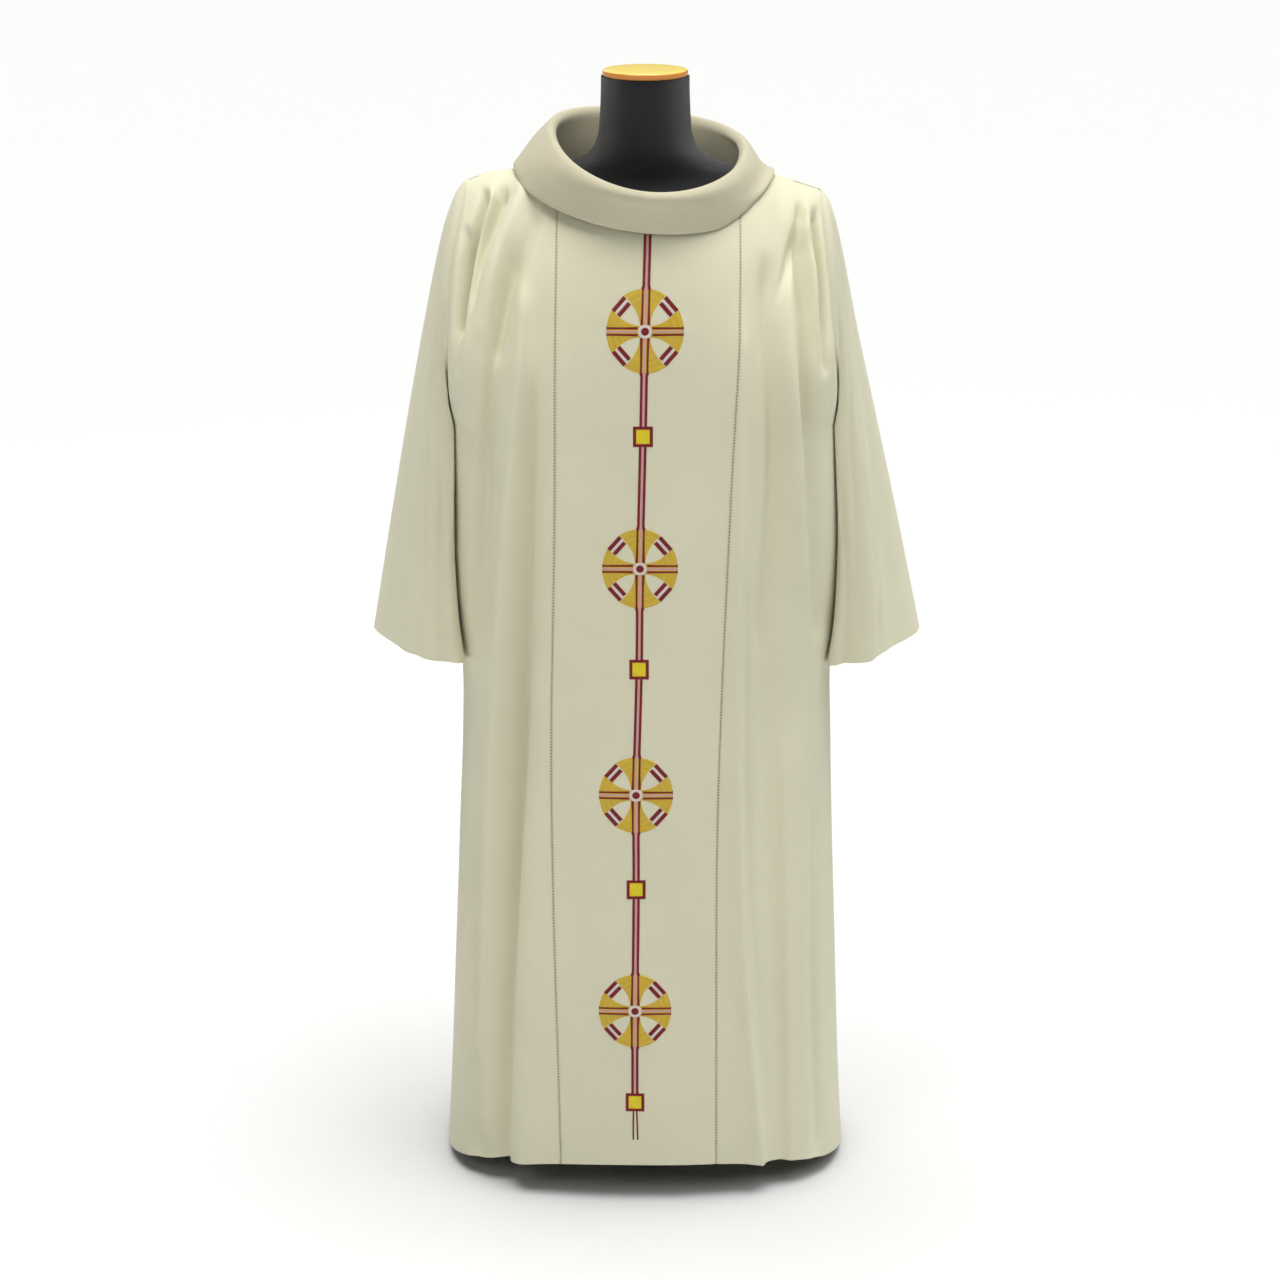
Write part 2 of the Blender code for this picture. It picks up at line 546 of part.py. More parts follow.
FormRing = namedtuple("FormRing", "z half_width front back")
FORM = (
    FormRing(0.712, 0.1400, 0.094, 0.098),
    FormRing(0.716, 0.1520, 0.104, 0.108),
    FormRing(0.728, 0.1600, 0.110, 0.114),
    FormRing(0.790, 0.1680, 0.116, 0.122),
    FormRing(0.860, 0.1660, 0.115, 0.121),
    FormRing(0.930, 0.1560, 0.110, 0.113),
    FormRing(0.990, 0.1500, 0.107, 0.107),
    FormRing(1.060, 0.1590, 0.113, 0.111),
    FormRing(1.130, 0.1740, 0.123, 0.117),
    FormRing(1.200, 0.1880, 0.129, 0.118),
    FormRing(1.260, 0.1980, 0.122, 0.112),
    FormRing(1.305, 0.2050, 0.104, 0.098),
    FormRing(1.340, 0.2080, 0.083, 0.080),
    FormRing(1.3632, 0.2060, 0.068, 0.068),
    FormRing(1.3762, 0.2010, 0.054, 0.056),
    FormRing(1.3856, 0.1910, 0.047, 0.049),
    FormRing(1.3958, 0.1690, 0.043, 0.045),
    FormRing(1.4038, 0.1390, 0.043, 0.045),
    FormRing(1.4118, 0.1050, 0.046, 0.048),
    FormRing(1.4205, 0.0820, 0.050, 0.052),
    FormRing(1.4330, 0.0685, 0.053, 0.055),
    FormRing(1.4480, 0.0620, 0.0535, 0.0550),
    FormRing(1.4700, 0.0595, 0.0535, 0.0545),
    FormRing(1.4980, 0.0580, 0.0530, 0.0540),
    FormRing(1.5245, 0.0575, 0.0530, 0.0535),
)
FORM_STEPS = 24
PART_GAP = 0.0003
Turning = namedtuple("Turning", "radius z")
NECK_CAP = (
    Turning(0.0540, 1.5248),
    Turning(0.0555, 1.5265),
    Turning(0.0555, 1.5315),
    Turning(0.0530, 1.5332),
    Turning(0.0333, 1.5340),
    Turning(0.0111, 1.5345),
)
BASE = (
    Turning(0.100, 0.000),
    Turning(0.100, 0.008),
    Turning(0.094, 0.014),
    Turning(0.030, 0.017),
)
POLE = (Turning(0.0175, BASE[-1].z + PART_GAP), Turning(0.0175, FORM[0].z - PART_GAP))
CAP_STEPS, BASE_STEPS, POLE_STEPS = 32, 40, 24

# ---- Meshes ------------------------------------------------------------------------------

SHARP_DEGREES = 50
Finish = namedtuple("Finish", "colour roughness metallic")
FINISHES = {
    "cream_cloth": Finish((0.80, 0.77, 0.63), 0.80, 0.0),
    "black_jersey": Finish((0.03, 0.028, 0.035), 0.85, 0.0),
    "varnished_wood": Finish((0.72, 0.42, 0.13), 0.35, 0.0),
    "grey_steel": Finish((0.25, 0.25, 0.26), 0.40, 1.0),
}


def finish(name):
    found = bpy.data.materials.get(name)
    if found:
        return found
    colour, roughness, metallic = FINISHES[name]
    material = bpy.data.materials.new(name)
    material.use_nodes = True
    shader = material.node_tree.nodes["Principled BSDF"]
    shader.inputs["Base Color"].default_value = (*colour, 1)
    shader.inputs["Roughness"].default_value = roughness
    shader.inputs["Metallic"].default_value = metallic
    material.diffuse_color = (*colour, 1)
    return material


def add_mesh(name, points, faces, finish_name):
    mesh = bpy.data.meshes.new(name)
    faces = [[int(corner) for corner in face] for face in faces]
    mesh.from_pydata(np.asarray(points).reshape(-1, 3).tolist(), [], faces)
    mesh.validate()
    mesh.materials.append(finish(finish_name))
    mesh.shade_smooth()
    mesh.set_sharp_from_angle(angle=np.radians(SHARP_DEGREES))
    made = bpy.data.objects.new(name, mesh)
    bpy.context.scene.collection.objects.link(made)
    return made


def facing_out(points, triangles):
    """The same triangles, turned over if they enclose a volume under 0."""
    a, b, c = (points[triangles[:, k]] for k in range(3))
    inside_out = np.einsum("ij,ij->", a, np.cross(b, c)) < 0
    return triangles[:, ::-1] if inside_out else triangles


def wall(name, outer, inner, finish_name, tube=False):
    """A cloth wall between two grids of points. In a tube the last column meets the first."""
    rows, columns = outer.shape[:2]
    index = np.arange(rows * columns).reshape(rows, columns)
    if tube:
        index = np.concatenate([index, index[:, :1]], axis=1)
    a, b, c, d = index[:-1, :-1], index[:-1, 1:], index[1:, 1:], index[1:, :-1]
    flat = outer.reshape(-1, 3)
    first_shorter = (
        np.linalg.norm(flat[a] - flat[c], axis=-1) <= np.linalg.norm(flat[b] - flat[d], axis=-1)
    )[..., None]
    one = np.where(first_shorter, np.stack([a, b, c], -1), np.stack([a, b, d], -1)).reshape(-1, 3)
    two = np.where(first_shorter, np.stack([a, c, d], -1), np.stack([b, c, d], -1)).reshape(-1, 3)
    skin = np.concatenate([one, two])
    far = rows * columns
    border = [index[0, ::-1], index[-1, :]]
    if not tube:
        border += [index[:, 0], index[::-1, -1]]
    rims = []
    points = np.concatenate([flat, inner.reshape(-1, 3)])
    for line in border:
        p, q = line[:-1], line[1:]
        one_way = np.linalg.norm(points[p] - points[q + far], axis=-1)
        shorter = (one_way <= np.linalg.norm(points[q] - points[p + far], axis=-1))[:, None]
        first = np.stack([p, q, np.where(shorter[:, 0], q, p) + far], -1)
        second = np.stack([np.where(shorter[:, 0], p, q), q + far, p + far], -1)
        rims += [first, second]
    triangles = np.concatenate([skin, skin[:, ::-1] + far] + rims)
    return add_mesh(name, points, facing_out(points, triangles), finish_name)


def stack(name, rings, finish_name):
    """A closed solid through rings of points, with a flat face at each end."""
    count, around = rings.shape[:2]
    index = np.arange(count * around).reshape(count, around)
    a, b = index[:-1], index[1:]
    a_next, b_next = np.roll(a, -1, axis=1), np.roll(b, -1, axis=1)
    sides = np.stack([a, a_next, b_next, b], -1).reshape(-1, 4)
    faces = [list(f) for f in sides] + [list(index[0, ::-1]), list(index[-1])]
    return add_mesh(name, rings, faces, finish_name)


# ---- The parts ---------------------------------------------------------------------------


def seam_normals(side, column, v):
    """Body normals, shared with the neighbour along each seam, so both walls end on one plane."""
    own = body_normal(side, column, v)
    other = body_normal("back" if side == "front" else "front", column, v)
    at_side = (column <= 0) | (column >= COLUMNS)
    at_seam = at_side & (v <= 1) | (v >= 2) & (np.abs(body_base(side, column, v)[..., 1]) < 1e-6)
    shared = np.where(at_seam[..., None], unit(own + other), own)
    for name, edge in ARMHOLE_COLUMN.items():
        at_armhole = (column == edge) & (v >= 1)
        w = np.clip(v - 1, 0, 1)
        start = np.zeros_like(w)
        sewn_on = sleeve_normal(name, side, start, w)
        both = unit(sleeve_normal(name, "front", start, w) + sleeve_normal(name, "back", start, w))
        at_end = ((w <= 0) | (w >= 1))[..., None]
        sewn_on = np.where(at_end, both, sewn_on)
        shared = np.where(at_armhole[..., None], unit(shared + sewn_on), shared)
    return shared


def panel(name, side, first, last):
    """The part of the front or the back between two columns, less half a seam gap all round."""
    columns = np.arange(first, last + 1, dtype=float)
    column, v = np.meshgrid(columns, row_heights())
    outer = body(side, column, v)
    inner = outer - CLOTH_WALL * seam_normals(side, column, v)
    left, right = np.maximum(column - EDGE_STEP, 0), np.minimum(column + EDGE_STEP, COLUMNS)
    across = unit(body(side, right, v) - body(side, left, v))
    down = unit(body(side, column, v - EDGE_STEP) - outer)
    move = np.zeros_like(outer)
    move[:, 0] += across[:, 0] * SEAM_GAP / 2
    move[:, -1] -= across[:, -1] * SEAM_GAP / 2
    move[-1] += down[-1] * SEAM_GAP / 2
    return wall(name, outer + move, inner + move, "cream_cloth")


def add_panels():
    right_seam, left_seam = int(COLUMN_AT[2]), int(COLUMN_AT[3])
    panel("front_center_panel", "front", right_seam, left_seam)
    panel("front_side_panel_right", "front", 0, right_seam)
    panel("front_side_panel_left", "front", left_seam, COLUMNS)
    panel("back_panel", "back", 0, COLUMNS)


def add_sleeve(name):
    heights = np.linspace(0, 1, YOKE_ROWS + 1)
    shares = np.linspace(0, 1, RINGS + 1) ** RING_CROWDING
    share, w = np.meshgrid(shares, heights, indexing="ij")
    halves = [
        (sleeve(name, side, share, w), sleeve_normal(name, side, share, w))
        for side in ("front", "back")
    ]
    # The seam's normals: at the armhole with the body, along the two lines with the other half.
    front_out, back_out = halves[0][1], halves[1][1]
    for row in (0, -1):
        both = unit(front_out[:, row] + back_out[:, row])
        front_out[:, row] = both
        back_out[:, row] = both
    for (_, out), side in zip(halves, ("front", "back")):
        v = 1 + heights
        out[0] = seam_normals(side, np.full_like(v, ARMHOLE_COLUMN[name]), v)
    outer = np.concatenate([halves[0][0], halves[1][0][:, -2:0:-1]], axis=1)
    out = np.concatenate([front_out, back_out[:, -2:0:-1]], axis=1)
    wall("sleeve_" + name, outer, outer - CLOTH_WALL * out, "cream_cloth", tube=True)


def neck_turns():
    """Angles round the neck, one at each column that ends on the neckline."""
    columns = np.arange(COLUMN_AT[1], COLUMN_AT[4] + 1, dtype=float)
    top_x = body_base("front", columns, 2.0)[..., 0]
    front = np.arcsin(np.clip(top_x / NECK_HALF_WIDTH, -1, 1))
    return np.concatenate([front, np.pi - front[-2:0:-1]])


def add_collar():
    turns = neck_turns()
    along = np.linspace(0, 1, PROFILE_STEPS + 1)
    turn, share = np.meshgrid(turns, along, indexing="ij")
    line = collar_line(turn, share)
    around = unit(collar_line(turn + NEAR, share) - collar_line(turn - NEAR, share))
    low, high = np.maximum(share - NEAR, 0), np.minimum(share + NEAR, 1)
    run = unit(collar_line(turn, high) - collar_line(turn, low))
    out = unit(np.cross(around, run))
    outside, inside = line + out * COLLAR_WALL / 2, line - out * COLLAR_WALL / 2
    wall("collar", outside.transpose(1, 0, 2), inside.transpose(1, 0, 2), "cream_cloth", tube=True)


def add_form():
    turn = np.linspace(0, 2 * np.pi, FORM_STEPS + 1)[:-1]
    rings = []
    for ring in FORM:
        depth = np.where(np.sin(turn) < 0, ring.front, ring.back)
        rings.append(np.stack([
            ring.half_width * np.cos(turn), depth * np.sin(turn), np.full_like(turn, ring.z)
        ], axis=-1))
    stack("torso", np.array(rings), "black_jersey")


def turned(name, profile, finish_name, steps):
    """A solid turned about the Z axis, from its profile, bottom to top."""
    turn = np.linspace(0, 2 * np.pi, steps + 1)[:-1]
    rings = [
        np.stack([at.radius * np.cos(turn), at.radius * np.sin(turn), np.full_like(turn, at.z)], -1)
        for at in profile
    ]
    return stack(name, np.array(rings), finish_name)


def add_stand():
    turned("neck_cap", NECK_CAP, "varnished_wood", CAP_STEPS)
    turned("base", BASE, "grey_steel", BASE_STEPS)
    turned("pole", POLE, "grey_steel", POLE_STEPS)


def main():
    for old in list(bpy.data.objects):
        bpy.data.objects.remove(old, do_unlink=True)
    add_panels()
    for name in SLEEVES:
        add_sleeve(name)
    add_collar()
    add_form()
    add_stand()


if __name__ == "__main__":
    main()
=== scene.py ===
"""Looks of a dalmatic on a limbless dress form, laid out as a Blender add-on.

model.glb holds the solids. Every piece made here replaces one of them or is sewn onto it, in the
same metres and axes: +Z up, the garment faces -Y, the wearer's left is +X.

The garment's body is one surface of two parameters: a column, from the wearer's right side seam
over the front or the back to the left one, and v (0 hem, 1 underarm, 2 top edge). The sleeves
and the collar are surfaces of two parameters too. The pieces are cut from them, and the seams,
stitches and embroidery lie on them.
"""

from collections import namedtuple
from functools import lru_cache

import bpy
import numpy as np
from bpy.props import FloatProperty, FloatVectorProperty, PointerProperty
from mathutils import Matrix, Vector


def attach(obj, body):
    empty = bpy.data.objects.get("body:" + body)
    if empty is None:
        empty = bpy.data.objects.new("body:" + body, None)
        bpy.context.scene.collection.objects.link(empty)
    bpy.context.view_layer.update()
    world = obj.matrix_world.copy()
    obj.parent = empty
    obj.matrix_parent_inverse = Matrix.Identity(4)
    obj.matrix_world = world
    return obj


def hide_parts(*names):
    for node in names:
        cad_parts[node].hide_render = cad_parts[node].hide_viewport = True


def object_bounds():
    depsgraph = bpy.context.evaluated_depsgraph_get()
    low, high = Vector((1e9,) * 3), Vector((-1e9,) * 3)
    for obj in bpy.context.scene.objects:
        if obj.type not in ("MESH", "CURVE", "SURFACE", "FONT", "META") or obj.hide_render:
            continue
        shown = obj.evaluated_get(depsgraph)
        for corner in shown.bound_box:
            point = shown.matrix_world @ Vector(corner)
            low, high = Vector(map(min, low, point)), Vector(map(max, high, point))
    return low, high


bl_info = {
    "name": "Dalmatic on dress form",
    "version": (1, 0, 0),
    "blender": (4, 5, 0),
    "location": "3D View > Sidebar > Dalmatic",
    "description": "Cloth, embroidery, dress form and stage of a dalmatic",
    "category": "Object",
}

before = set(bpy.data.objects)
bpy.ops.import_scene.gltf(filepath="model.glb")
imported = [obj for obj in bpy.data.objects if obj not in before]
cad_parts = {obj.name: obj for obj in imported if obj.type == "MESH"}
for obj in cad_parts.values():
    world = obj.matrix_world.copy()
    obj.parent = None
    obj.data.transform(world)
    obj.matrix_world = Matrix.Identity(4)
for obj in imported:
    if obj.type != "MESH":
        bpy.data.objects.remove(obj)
CAD_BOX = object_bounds()

# ---- Sizes of the garment's body ---------------------------------------------------------

UNDERARM_Z = 1.08
NECK_HALF_WIDTH = 0.138
NECK_POINT_Z = 1.4085
Yoke = namedtuple("Yoke", "centre_fullness shoulder_fullness neck_rise neck_depth")
YOKE = {"front": Yoke(3.4, 1.6, 0.010, 0.118), "back": Yoke(2.8, 2.6, 0.045, 0.072)}
SHOULDER_X = 0.20
ARMHOLE_REACH, ARMHOLE_RISE = 0.098, 0.12
HEM_Z = {"front": 0.054, "side": 0.008, "back": 0.030}
HEM_ROUND = 1.3

# Half widths to the wearer's right and left, depths, and how square the section is: the power
# of its superellipse.
Level = namedtuple("Level", "z right left front back square")
LEVELS = (
    Level(0.000, 0.2840, 0.2850, 0.196, 0.192, 2.55),
    Level(0.135, 0.2760, 0.2770, 0.194, 0.187, 2.52),
    Level(0.322, 0.2670, 0.2690, 0.190, 0.178, 2.50),
    Level(0.505, 0.2580, 0.2610, 0.186, 0.170, 2.46),
    Level(0.639, 0.2515, 0.2565, 0.184, 0.163, 2.44),
    Level(0.735, 0.2505, 0.2545, 0.183, 0.158, 2.50),
    Level(0.800, 0.2560, 0.2610, 0.182, 0.155, 2.60),
    Level(0.870, 0.2605, 0.2650, 0.181, 0.151, 2.70),
    Level(0.950, 0.2615, 0.2650, 0.180, 0.147, 2.80),
    Level(1.080, 0.2600, 0.2570, 0.178, 0.140, 2.85),
    Level(1.220, 0.2560, 0.2450, 0.179, 0.134, 2.75),
    Level(1.310, 0.2500, 0.2375, 0.181, 0.131, 2.60),
    Level(1.400, 0.2320, 0.2280, 0.183, 0.128, 2.50),
)
# The shoulders' ridge, from the neck point to the armhole.
Ridge = namedtuple("Ridge", "x z")
RIDGE = {
    "right": (
        Ridge(0.138, 1.4085),
        Ridge(0.166, 1.4045),
        Ridge(0.205, 1.3990),
        Ridge(0.230, 1.3905),
    ),
    "left": (
        Ridge(0.138, 1.4085),
        Ridge(0.170, 1.3965),
        Ridge(0.205, 1.3850),
        Ridge(0.230, 1.3765),
    ),
}
# x of the two long seams, and how far to both sides the lines below the neck points are.
Line = namedtuple("Line", "z seam_right seam_left neck")
LINES = (
    Line(0.05, -0.117, 0.099, 0.170),
    Line(0.59, -0.1245, 0.0975, 0.160),
    Line(1.00, -0.117, 0.110, 0.150),
    Line(1.26, -0.115, 0.121, 0.142),
    Line(1.41, -0.1125, 0.121, 0.138),
)
# How many columns lie between the side seams, the neck lines and the long seams.
Strip = namedtuple("Strip", "side_to_neck_line neck_line_to_seam centre")
STRIP = Strip(10, 4, 9)
COLUMN_AT = np.cumsum((0, STRIP[0], STRIP[1], STRIP[2], STRIP[1], STRIP[0]))
COLUMNS = int(COLUMN_AT[-1])
ARMHOLE_COLUMN = {"right": 0.0, "left": float(COLUMNS)}
# Powers that crowd the columns towards the neck lines and the rows towards the top edge.
NECK_CROWDING, YOKE_CROWDING = 1.7, 1.6
HEIGHT_ROUNDS, NEARLY_FLAT = 4, 0.999
LIMIT_STEPS = 4000
NEAR = 1e-3  # the step in column and v for normals
SIGN = {"right": -1, "left": 1, "front": -1, "back": 1}

# ---- Folds -------------------------------------------------------------------------------

# A path through three places, the depth there (outwards is plus), the widths to the -X and +X
# side of it, and how far past its ends it runs out.
Fold = namedtuple(
    "Fold",
    "low_x low_z mid_x mid_z high_x high_z low_depth mid_depth high_depth minus plus run_out",
)
FOLDS = {
    "front": (
        Fold(-0.198, 0.05, -0.165, 0.68, -0.135, 1.20, -0.012, -0.013, -0.004, 0.026, 0.016, 0.10),
        Fold(-0.165, 0.05, -0.140, 0.60, -0.123, 1.17, 0.004, 0.005, 0.002, 0.018, 0.022, 0.10),
        Fold(-0.226, 0.10, -0.190, 0.80, -0.155, 1.25, 0.007, 0.008, 0.004, 0.017, 0.016, 0.06),
        Fold(-0.222, 0.70, -0.208, 1.11, -0.172, 1.30, -0.006, -0.009, -0.004, 0.020, 0.017, 0.08),
        Fold(-0.228, 1.27, -0.211, 1.33, -0.182, 1.38, -0.003, -0.006, -0.004, 0.011, 0.011, 0.03),
        Fold(0.163, 0.05, 0.124, 0.62, 0.127, 1.19, 0.006, 0.007, 0.003, 0.020, 0.012, 0.08),
        Fold(0.195, 0.05, 0.160, 0.75, 0.155, 1.26, -0.009, -0.010, -0.004, 0.018, 0.034, 0.07),
        Fold(0.236, 0.05, 0.222, 0.42, 0.205, 0.75, 0.006, 0.004, 0.001, 0.020, 0.020, 0.10),
        Fold(0.211, 0.92, 0.197, 1.05, 0.178, 1.22, 0.003, 0.006, 0.003, 0.015, 0.013, 0.07),
        Fold(0.199, 1.25, 0.190, 1.31, 0.172, 1.36, -0.003, -0.006, -0.003, 0.011, 0.010, 0.03),
    ),
    "back": (
        Fold(-0.176, 0.05, -0.150, 0.60, -0.120, 1.22, -0.020, -0.012, -0.003, 0.026, 0.022, 0.10),
        Fold(-0.122, 0.05, -0.108, 0.62, -0.095, 1.15, 0.010, 0.006, 0.002, 0.024, 0.022, 0.10),
        Fold(-0.052, 0.05, -0.045, 0.50, -0.040, 1.00, -0.013, -0.007, -0.002, 0.026, 0.030, 0.12),
        Fold(0.028, 0.05, 0.020, 0.55, 0.018, 1.10, 0.009, 0.005, 0.002, 0.026, 0.024, 0.12),
        Fold(0.092, 0.05, 0.080, 0.58, 0.070, 1.14, -0.016, -0.009, -0.003, 0.022, 0.026, 0.10),
        Fold(0.148, 0.05, 0.130, 0.60, 0.112, 1.20, 0.010, 0.006, 0.002, 0.020, 0.024, 0.10),
        Fold(0.206, 0.05, 0.180, 0.66, 0.158, 1.22, -0.017, -0.010, -0.003, 0.024, 0.020, 0.10),
        Fold(-0.205, 1.20, -0.190, 1.29, -0.165, 1.36, -0.004, -0.006, -0.003, 0.013, 0.013, 0.04),
        Fold(0.203, 1.18, 0.188, 1.28, 0.162, 1.36, -0.004, -0.006, -0.003, 0.013, 0.013, 0.04),
    ),
}
# Finer creases, which only these pieces have: most have one steep side.
CREASES = {
    "front": (
        Fold(-0.187, 0.05, -0.172, 0.41, -0.150, 0.720, 0.0060, 0.0104, 0.0037, 0.0065, 0.0200, 0.060),
        Fold(-0.199, 0.05, -0.170, 0.62, -0.147, 1.120, -0.0070, -0.0140, -0.0100, 0.0140, 0.0060, 0.060),
        Fold(-0.228, 0.20, -0.188, 0.85, -0.156, 1.240, 0.0060, 0.0085, 0.0060, 0.0100, 0.0080, 0.050),
        Fold(-0.240, 0.06, -0.236, 0.32, -0.228, 0.620, -0.0081, -0.0090, -0.0041, 0.0070, 0.0120, 0.060),
        Fold(-0.229, 0.82, -0.212, 1.09, -0.178, 1.290, -0.0072, -0.0096, -0.0072, 0.0070, 0.0130, 0.050),
        Fold(-0.243, 1.22, -0.228, 1.31, -0.208, 1.370, -0.0110, -0.0220, -0.0150, 0.0048, 0.0062, 0.018),
        Fold(-0.246, 1.17, -0.241, 1.26, -0.231, 1.325, -0.0060, -0.0125, -0.0090, 0.0050, 0.0075, 0.020),
        Fold(-0.231, 1.26, -0.217, 1.33, -0.197, 1.375, 0.0025, 0.0069, 0.0069, 0.0060, 0.0060, 0.020),
        Fold(-0.229, 1.22, -0.208, 1.32, -0.184, 1.375, -0.0014, -0.0140, -0.0140, 0.0075, 0.0048, 0.018),
        Fold(-0.210, 1.22, -0.186, 1.32, -0.160, 1.380, 0.0037, 0.0075, 0.0056, 0.0100, 0.0100, 0.030),
        Fold(-0.193, 1.20, -0.175, 1.28, -0.145, 1.350, -0.0085, -0.0130, -0.0090, 0.0110, 0.0120, 0.035),
        Fold(0.168, 0.05, 0.136, 0.42, 0.128, 0.840, -0.0055, -0.0130, -0.0070, 0.0045, 0.0160, 0.060),
        Fold(0.163, 0.05, 0.125, 0.62, 0.128, 1.190, 0.0040, 0.0066, 0.0037, 0.0120, 0.0070, 0.060),
        Fold(0.152, 0.82, 0.165, 1.03, 0.153, 1.270, -0.0061, -0.0101, -0.0081, 0.0060, 0.0140, 0.050),
        Fold(0.228, 0.82, 0.204, 1.09, 0.198, 1.310, -0.0095, -0.0155, -0.0145, 0.0035, 0.0180, 0.040),
        Fold(0.206, 0.90, 0.193, 1.09, 0.186, 1.260, 0.0056, 0.0094, 0.0056, 0.0140, 0.0070, 0.050),
        Fold(0.170, 1.25, 0.188, 1.31, 0.201, 1.350, -0.0014, -0.0105, -0.0130, 0.0055, 0.0070, 0.025),
        Fold(0.236, 1.17, 0.232, 1.27, 0.222, 1.345, -0.0080, -0.0170, -0.0140, 0.0070, 0.0045, 0.020),
        Fold(0.222, 1.22, 0.218, 1.29, 0.209, 1.350, 0.0037, 0.0084, 0.0056, 0.0080, 0.0080, 0.030),
        Fold(0.205, 0.05, 0.196, 0.34, 0.188, 0.620, 0.0066, 0.0075, 0.0037, 0.0060, 0.0140, 0.060),
        Fold(0.242, 0.06, 0.234, 0.30, 0.226, 0.600, -0.0081, -0.0090, -0.0041, 0.0100, 0.0060, 0.060),
    ),
    "back": (
        Fold(-0.166, 0.05, -0.142, 0.60, -0.114, 1.16, 0.0075, 0.0067, 0.0030, 0.0060, 0.018, 0.06),
        Fold(-0.064, 0.05, -0.056, 0.46, -0.048, 0.88, 0.0060, 0.0060, 0.0030, 0.016, 0.0060, 0.06),
        Fold(0.080, 0.05, 0.070, 0.50, 0.062, 1.00, 0.0067, 0.0060, 0.0030, 0.016, 0.0060, 0.06),
        Fold(0.196, 0.05, 0.172, 0.62, 0.150, 1.16, 0.0075, 0.0067, 0.0030, 0.0060, 0.018, 0.06),
        Fold(-0.232, 0.06, -0.226, 0.36, -0.214, 0.70, -0.0067, -0.0075, -0.0030, 0.0070, 0.012, 0.06),
        Fold(0.238, 0.06, 0.230, 0.36, 0.218, 0.70, -0.0067, -0.0075, -0.0030, 0.012, 0.0070, 0.06),
        Fold(-0.220, 1.16, -0.202, 1.26, -0.174, 1.34, -0.0045, -0.0083, -0.0060, 0.0070, 0.0090, 0.03),
        Fold(-0.206, 1.20, -0.182, 1.30, -0.150, 1.37, 0.0030, 0.0053, 0.0045, 0.0090, 0.0100, 0.03),
        Fold(0.218, 1.14, 0.200, 1.25, 0.172, 1.34, -0.0045, -0.0083, -0.0060, 0.0090, 0.0070, 0.03),
        Fold(0.202, 1.18, 0.180, 1.29, 0.150, 1.36, 0.0030, 0.0053, 0.0045, 0.0100, 0.0090, 0.03),
    ),
}
# How far from the side seams, as an angle, and from the top edge, in v, the folds and the
# creases have faded in.
SIDE_FADE, CREASE_SIDE_FADE = 0.35, 0.16
TOP_FADE, CREASE_TOP_FADE = 0.16, 0.05


def through(knots, values, at):
    """A smooth curve through the values at the knots: a cubic between two knots, whose slope at
    each knot is the mean of the chords beside it. The values are numbers, or a grid of points for
    each knot, with as many rows and columns as at."""
    knots, values = np.asarray(knots, float), np.asarray(values, float)
    chord = np.diff(values, axis=0) / np.diff(knots).reshape((-1,) + (1,) * (values.ndim - 1))
    slope = np.concatenate([chord[:1], (chord[:-1] + chord[1:]) / 2, chord[-1:]])
    at = np.clip(at, knots[0], knots[-1])
    i = np.clip(np.searchsorted(knots, at, side="right") - 1, 0, len(knots) - 2)
    width = knots[i + 1] - knots[i]
    t, place = (at - knots[i]) / width, ()
    if values.ndim > 1:
        width, t, place = width[..., None], t[..., None], tuple(np.indices(at.shape))
    low, high = (i, *place), (i + 1, *place)
    return (
        values[low] * (1 + 2 * t) * (1 - t) ** 2
        + width * slope[low] * t * (1 - t) ** 2
        + values[high] * t**2 * (3 - 2 * t)
        + width * slope[high] * t**2 * (t - 1)
    )


def column_of(table, name, at, key="z"):
    """One named column of a table, read at the given heights or places."""
    return through([getattr(row, key) for row in table], [getattr(row, name) for row in table], at)


def step(t):
    """0 below 0, 1 above 1, and 3t^2 - 2t^3 between."""
    t = np.clip(t, 0, 1)
    return t * t * (3 - 2 * t)


def bell(distance, width):
    """1 at a distance of 0, and a bell's fall beyond: e to the power of less the square of the
    distance over the width."""
    return np.exp(-((distance / width) ** 2))


def unit(vectors):
    """The vectors over their lengths."""
    return vectors / np.maximum(np.linalg.norm(vectors, axis=-1, keepdims=True), 1e-12)


# ---- The body's surface ------------------------------------------------------------------


def half_width_at(z, x):
    """Half width of the section at height z, on the side of x."""
    return np.where(x < 0, column_of(LEVELS, "right", z), column_of(LEVELS, "left", z))


def angle_at(x, z):
    """The angle of a superellipse at x: the arcsine of |x| / half width to the power square / 2."""
    share = np.clip(np.abs(x) / half_width_at(z, x), 0, 1)
    return np.sign(x) * np.arcsin(share ** (column_of(LEVELS, "square", z) / 2))


def angle_of(column, z):
    """The angle of a column at a height: even steps between the side seams, neck lines and seams."""
    neck = column_of(LINES, "neck", z)
    knots = (
        np.full_like(z, -np.pi / 2),
        angle_at(-neck, z),
        angle_at(column_of(LINES, "seam_right", z), z),
        angle_at(column_of(LINES, "seam_left", z), z),
        angle_at(neck, z),
        np.full_like(z, np.pi / 2),
    )
    angle = knots[0]
    for k in range(5):
        share = np.clip((column - COLUMN_AT[k]) / (COLUMN_AT[k + 1] - COLUMN_AT[k]), 0, 1)
        if k == 1:
            share = share**NECK_CROWDING
        if k == 3:
            share = 1 - (1 - share) ** NECK_CROWDING
        angle = angle + share * (knots[k + 1] - knots[k])
    return angle


def section_x(angle, z):
    """x of the superellipse: half width times the sine to the power 2 / square."""
    return np.sign(angle) * half_width_at(z, angle) * np.abs(np.sin(angle)) ** (
        2 / column_of(LEVELS, "square", z)
    )


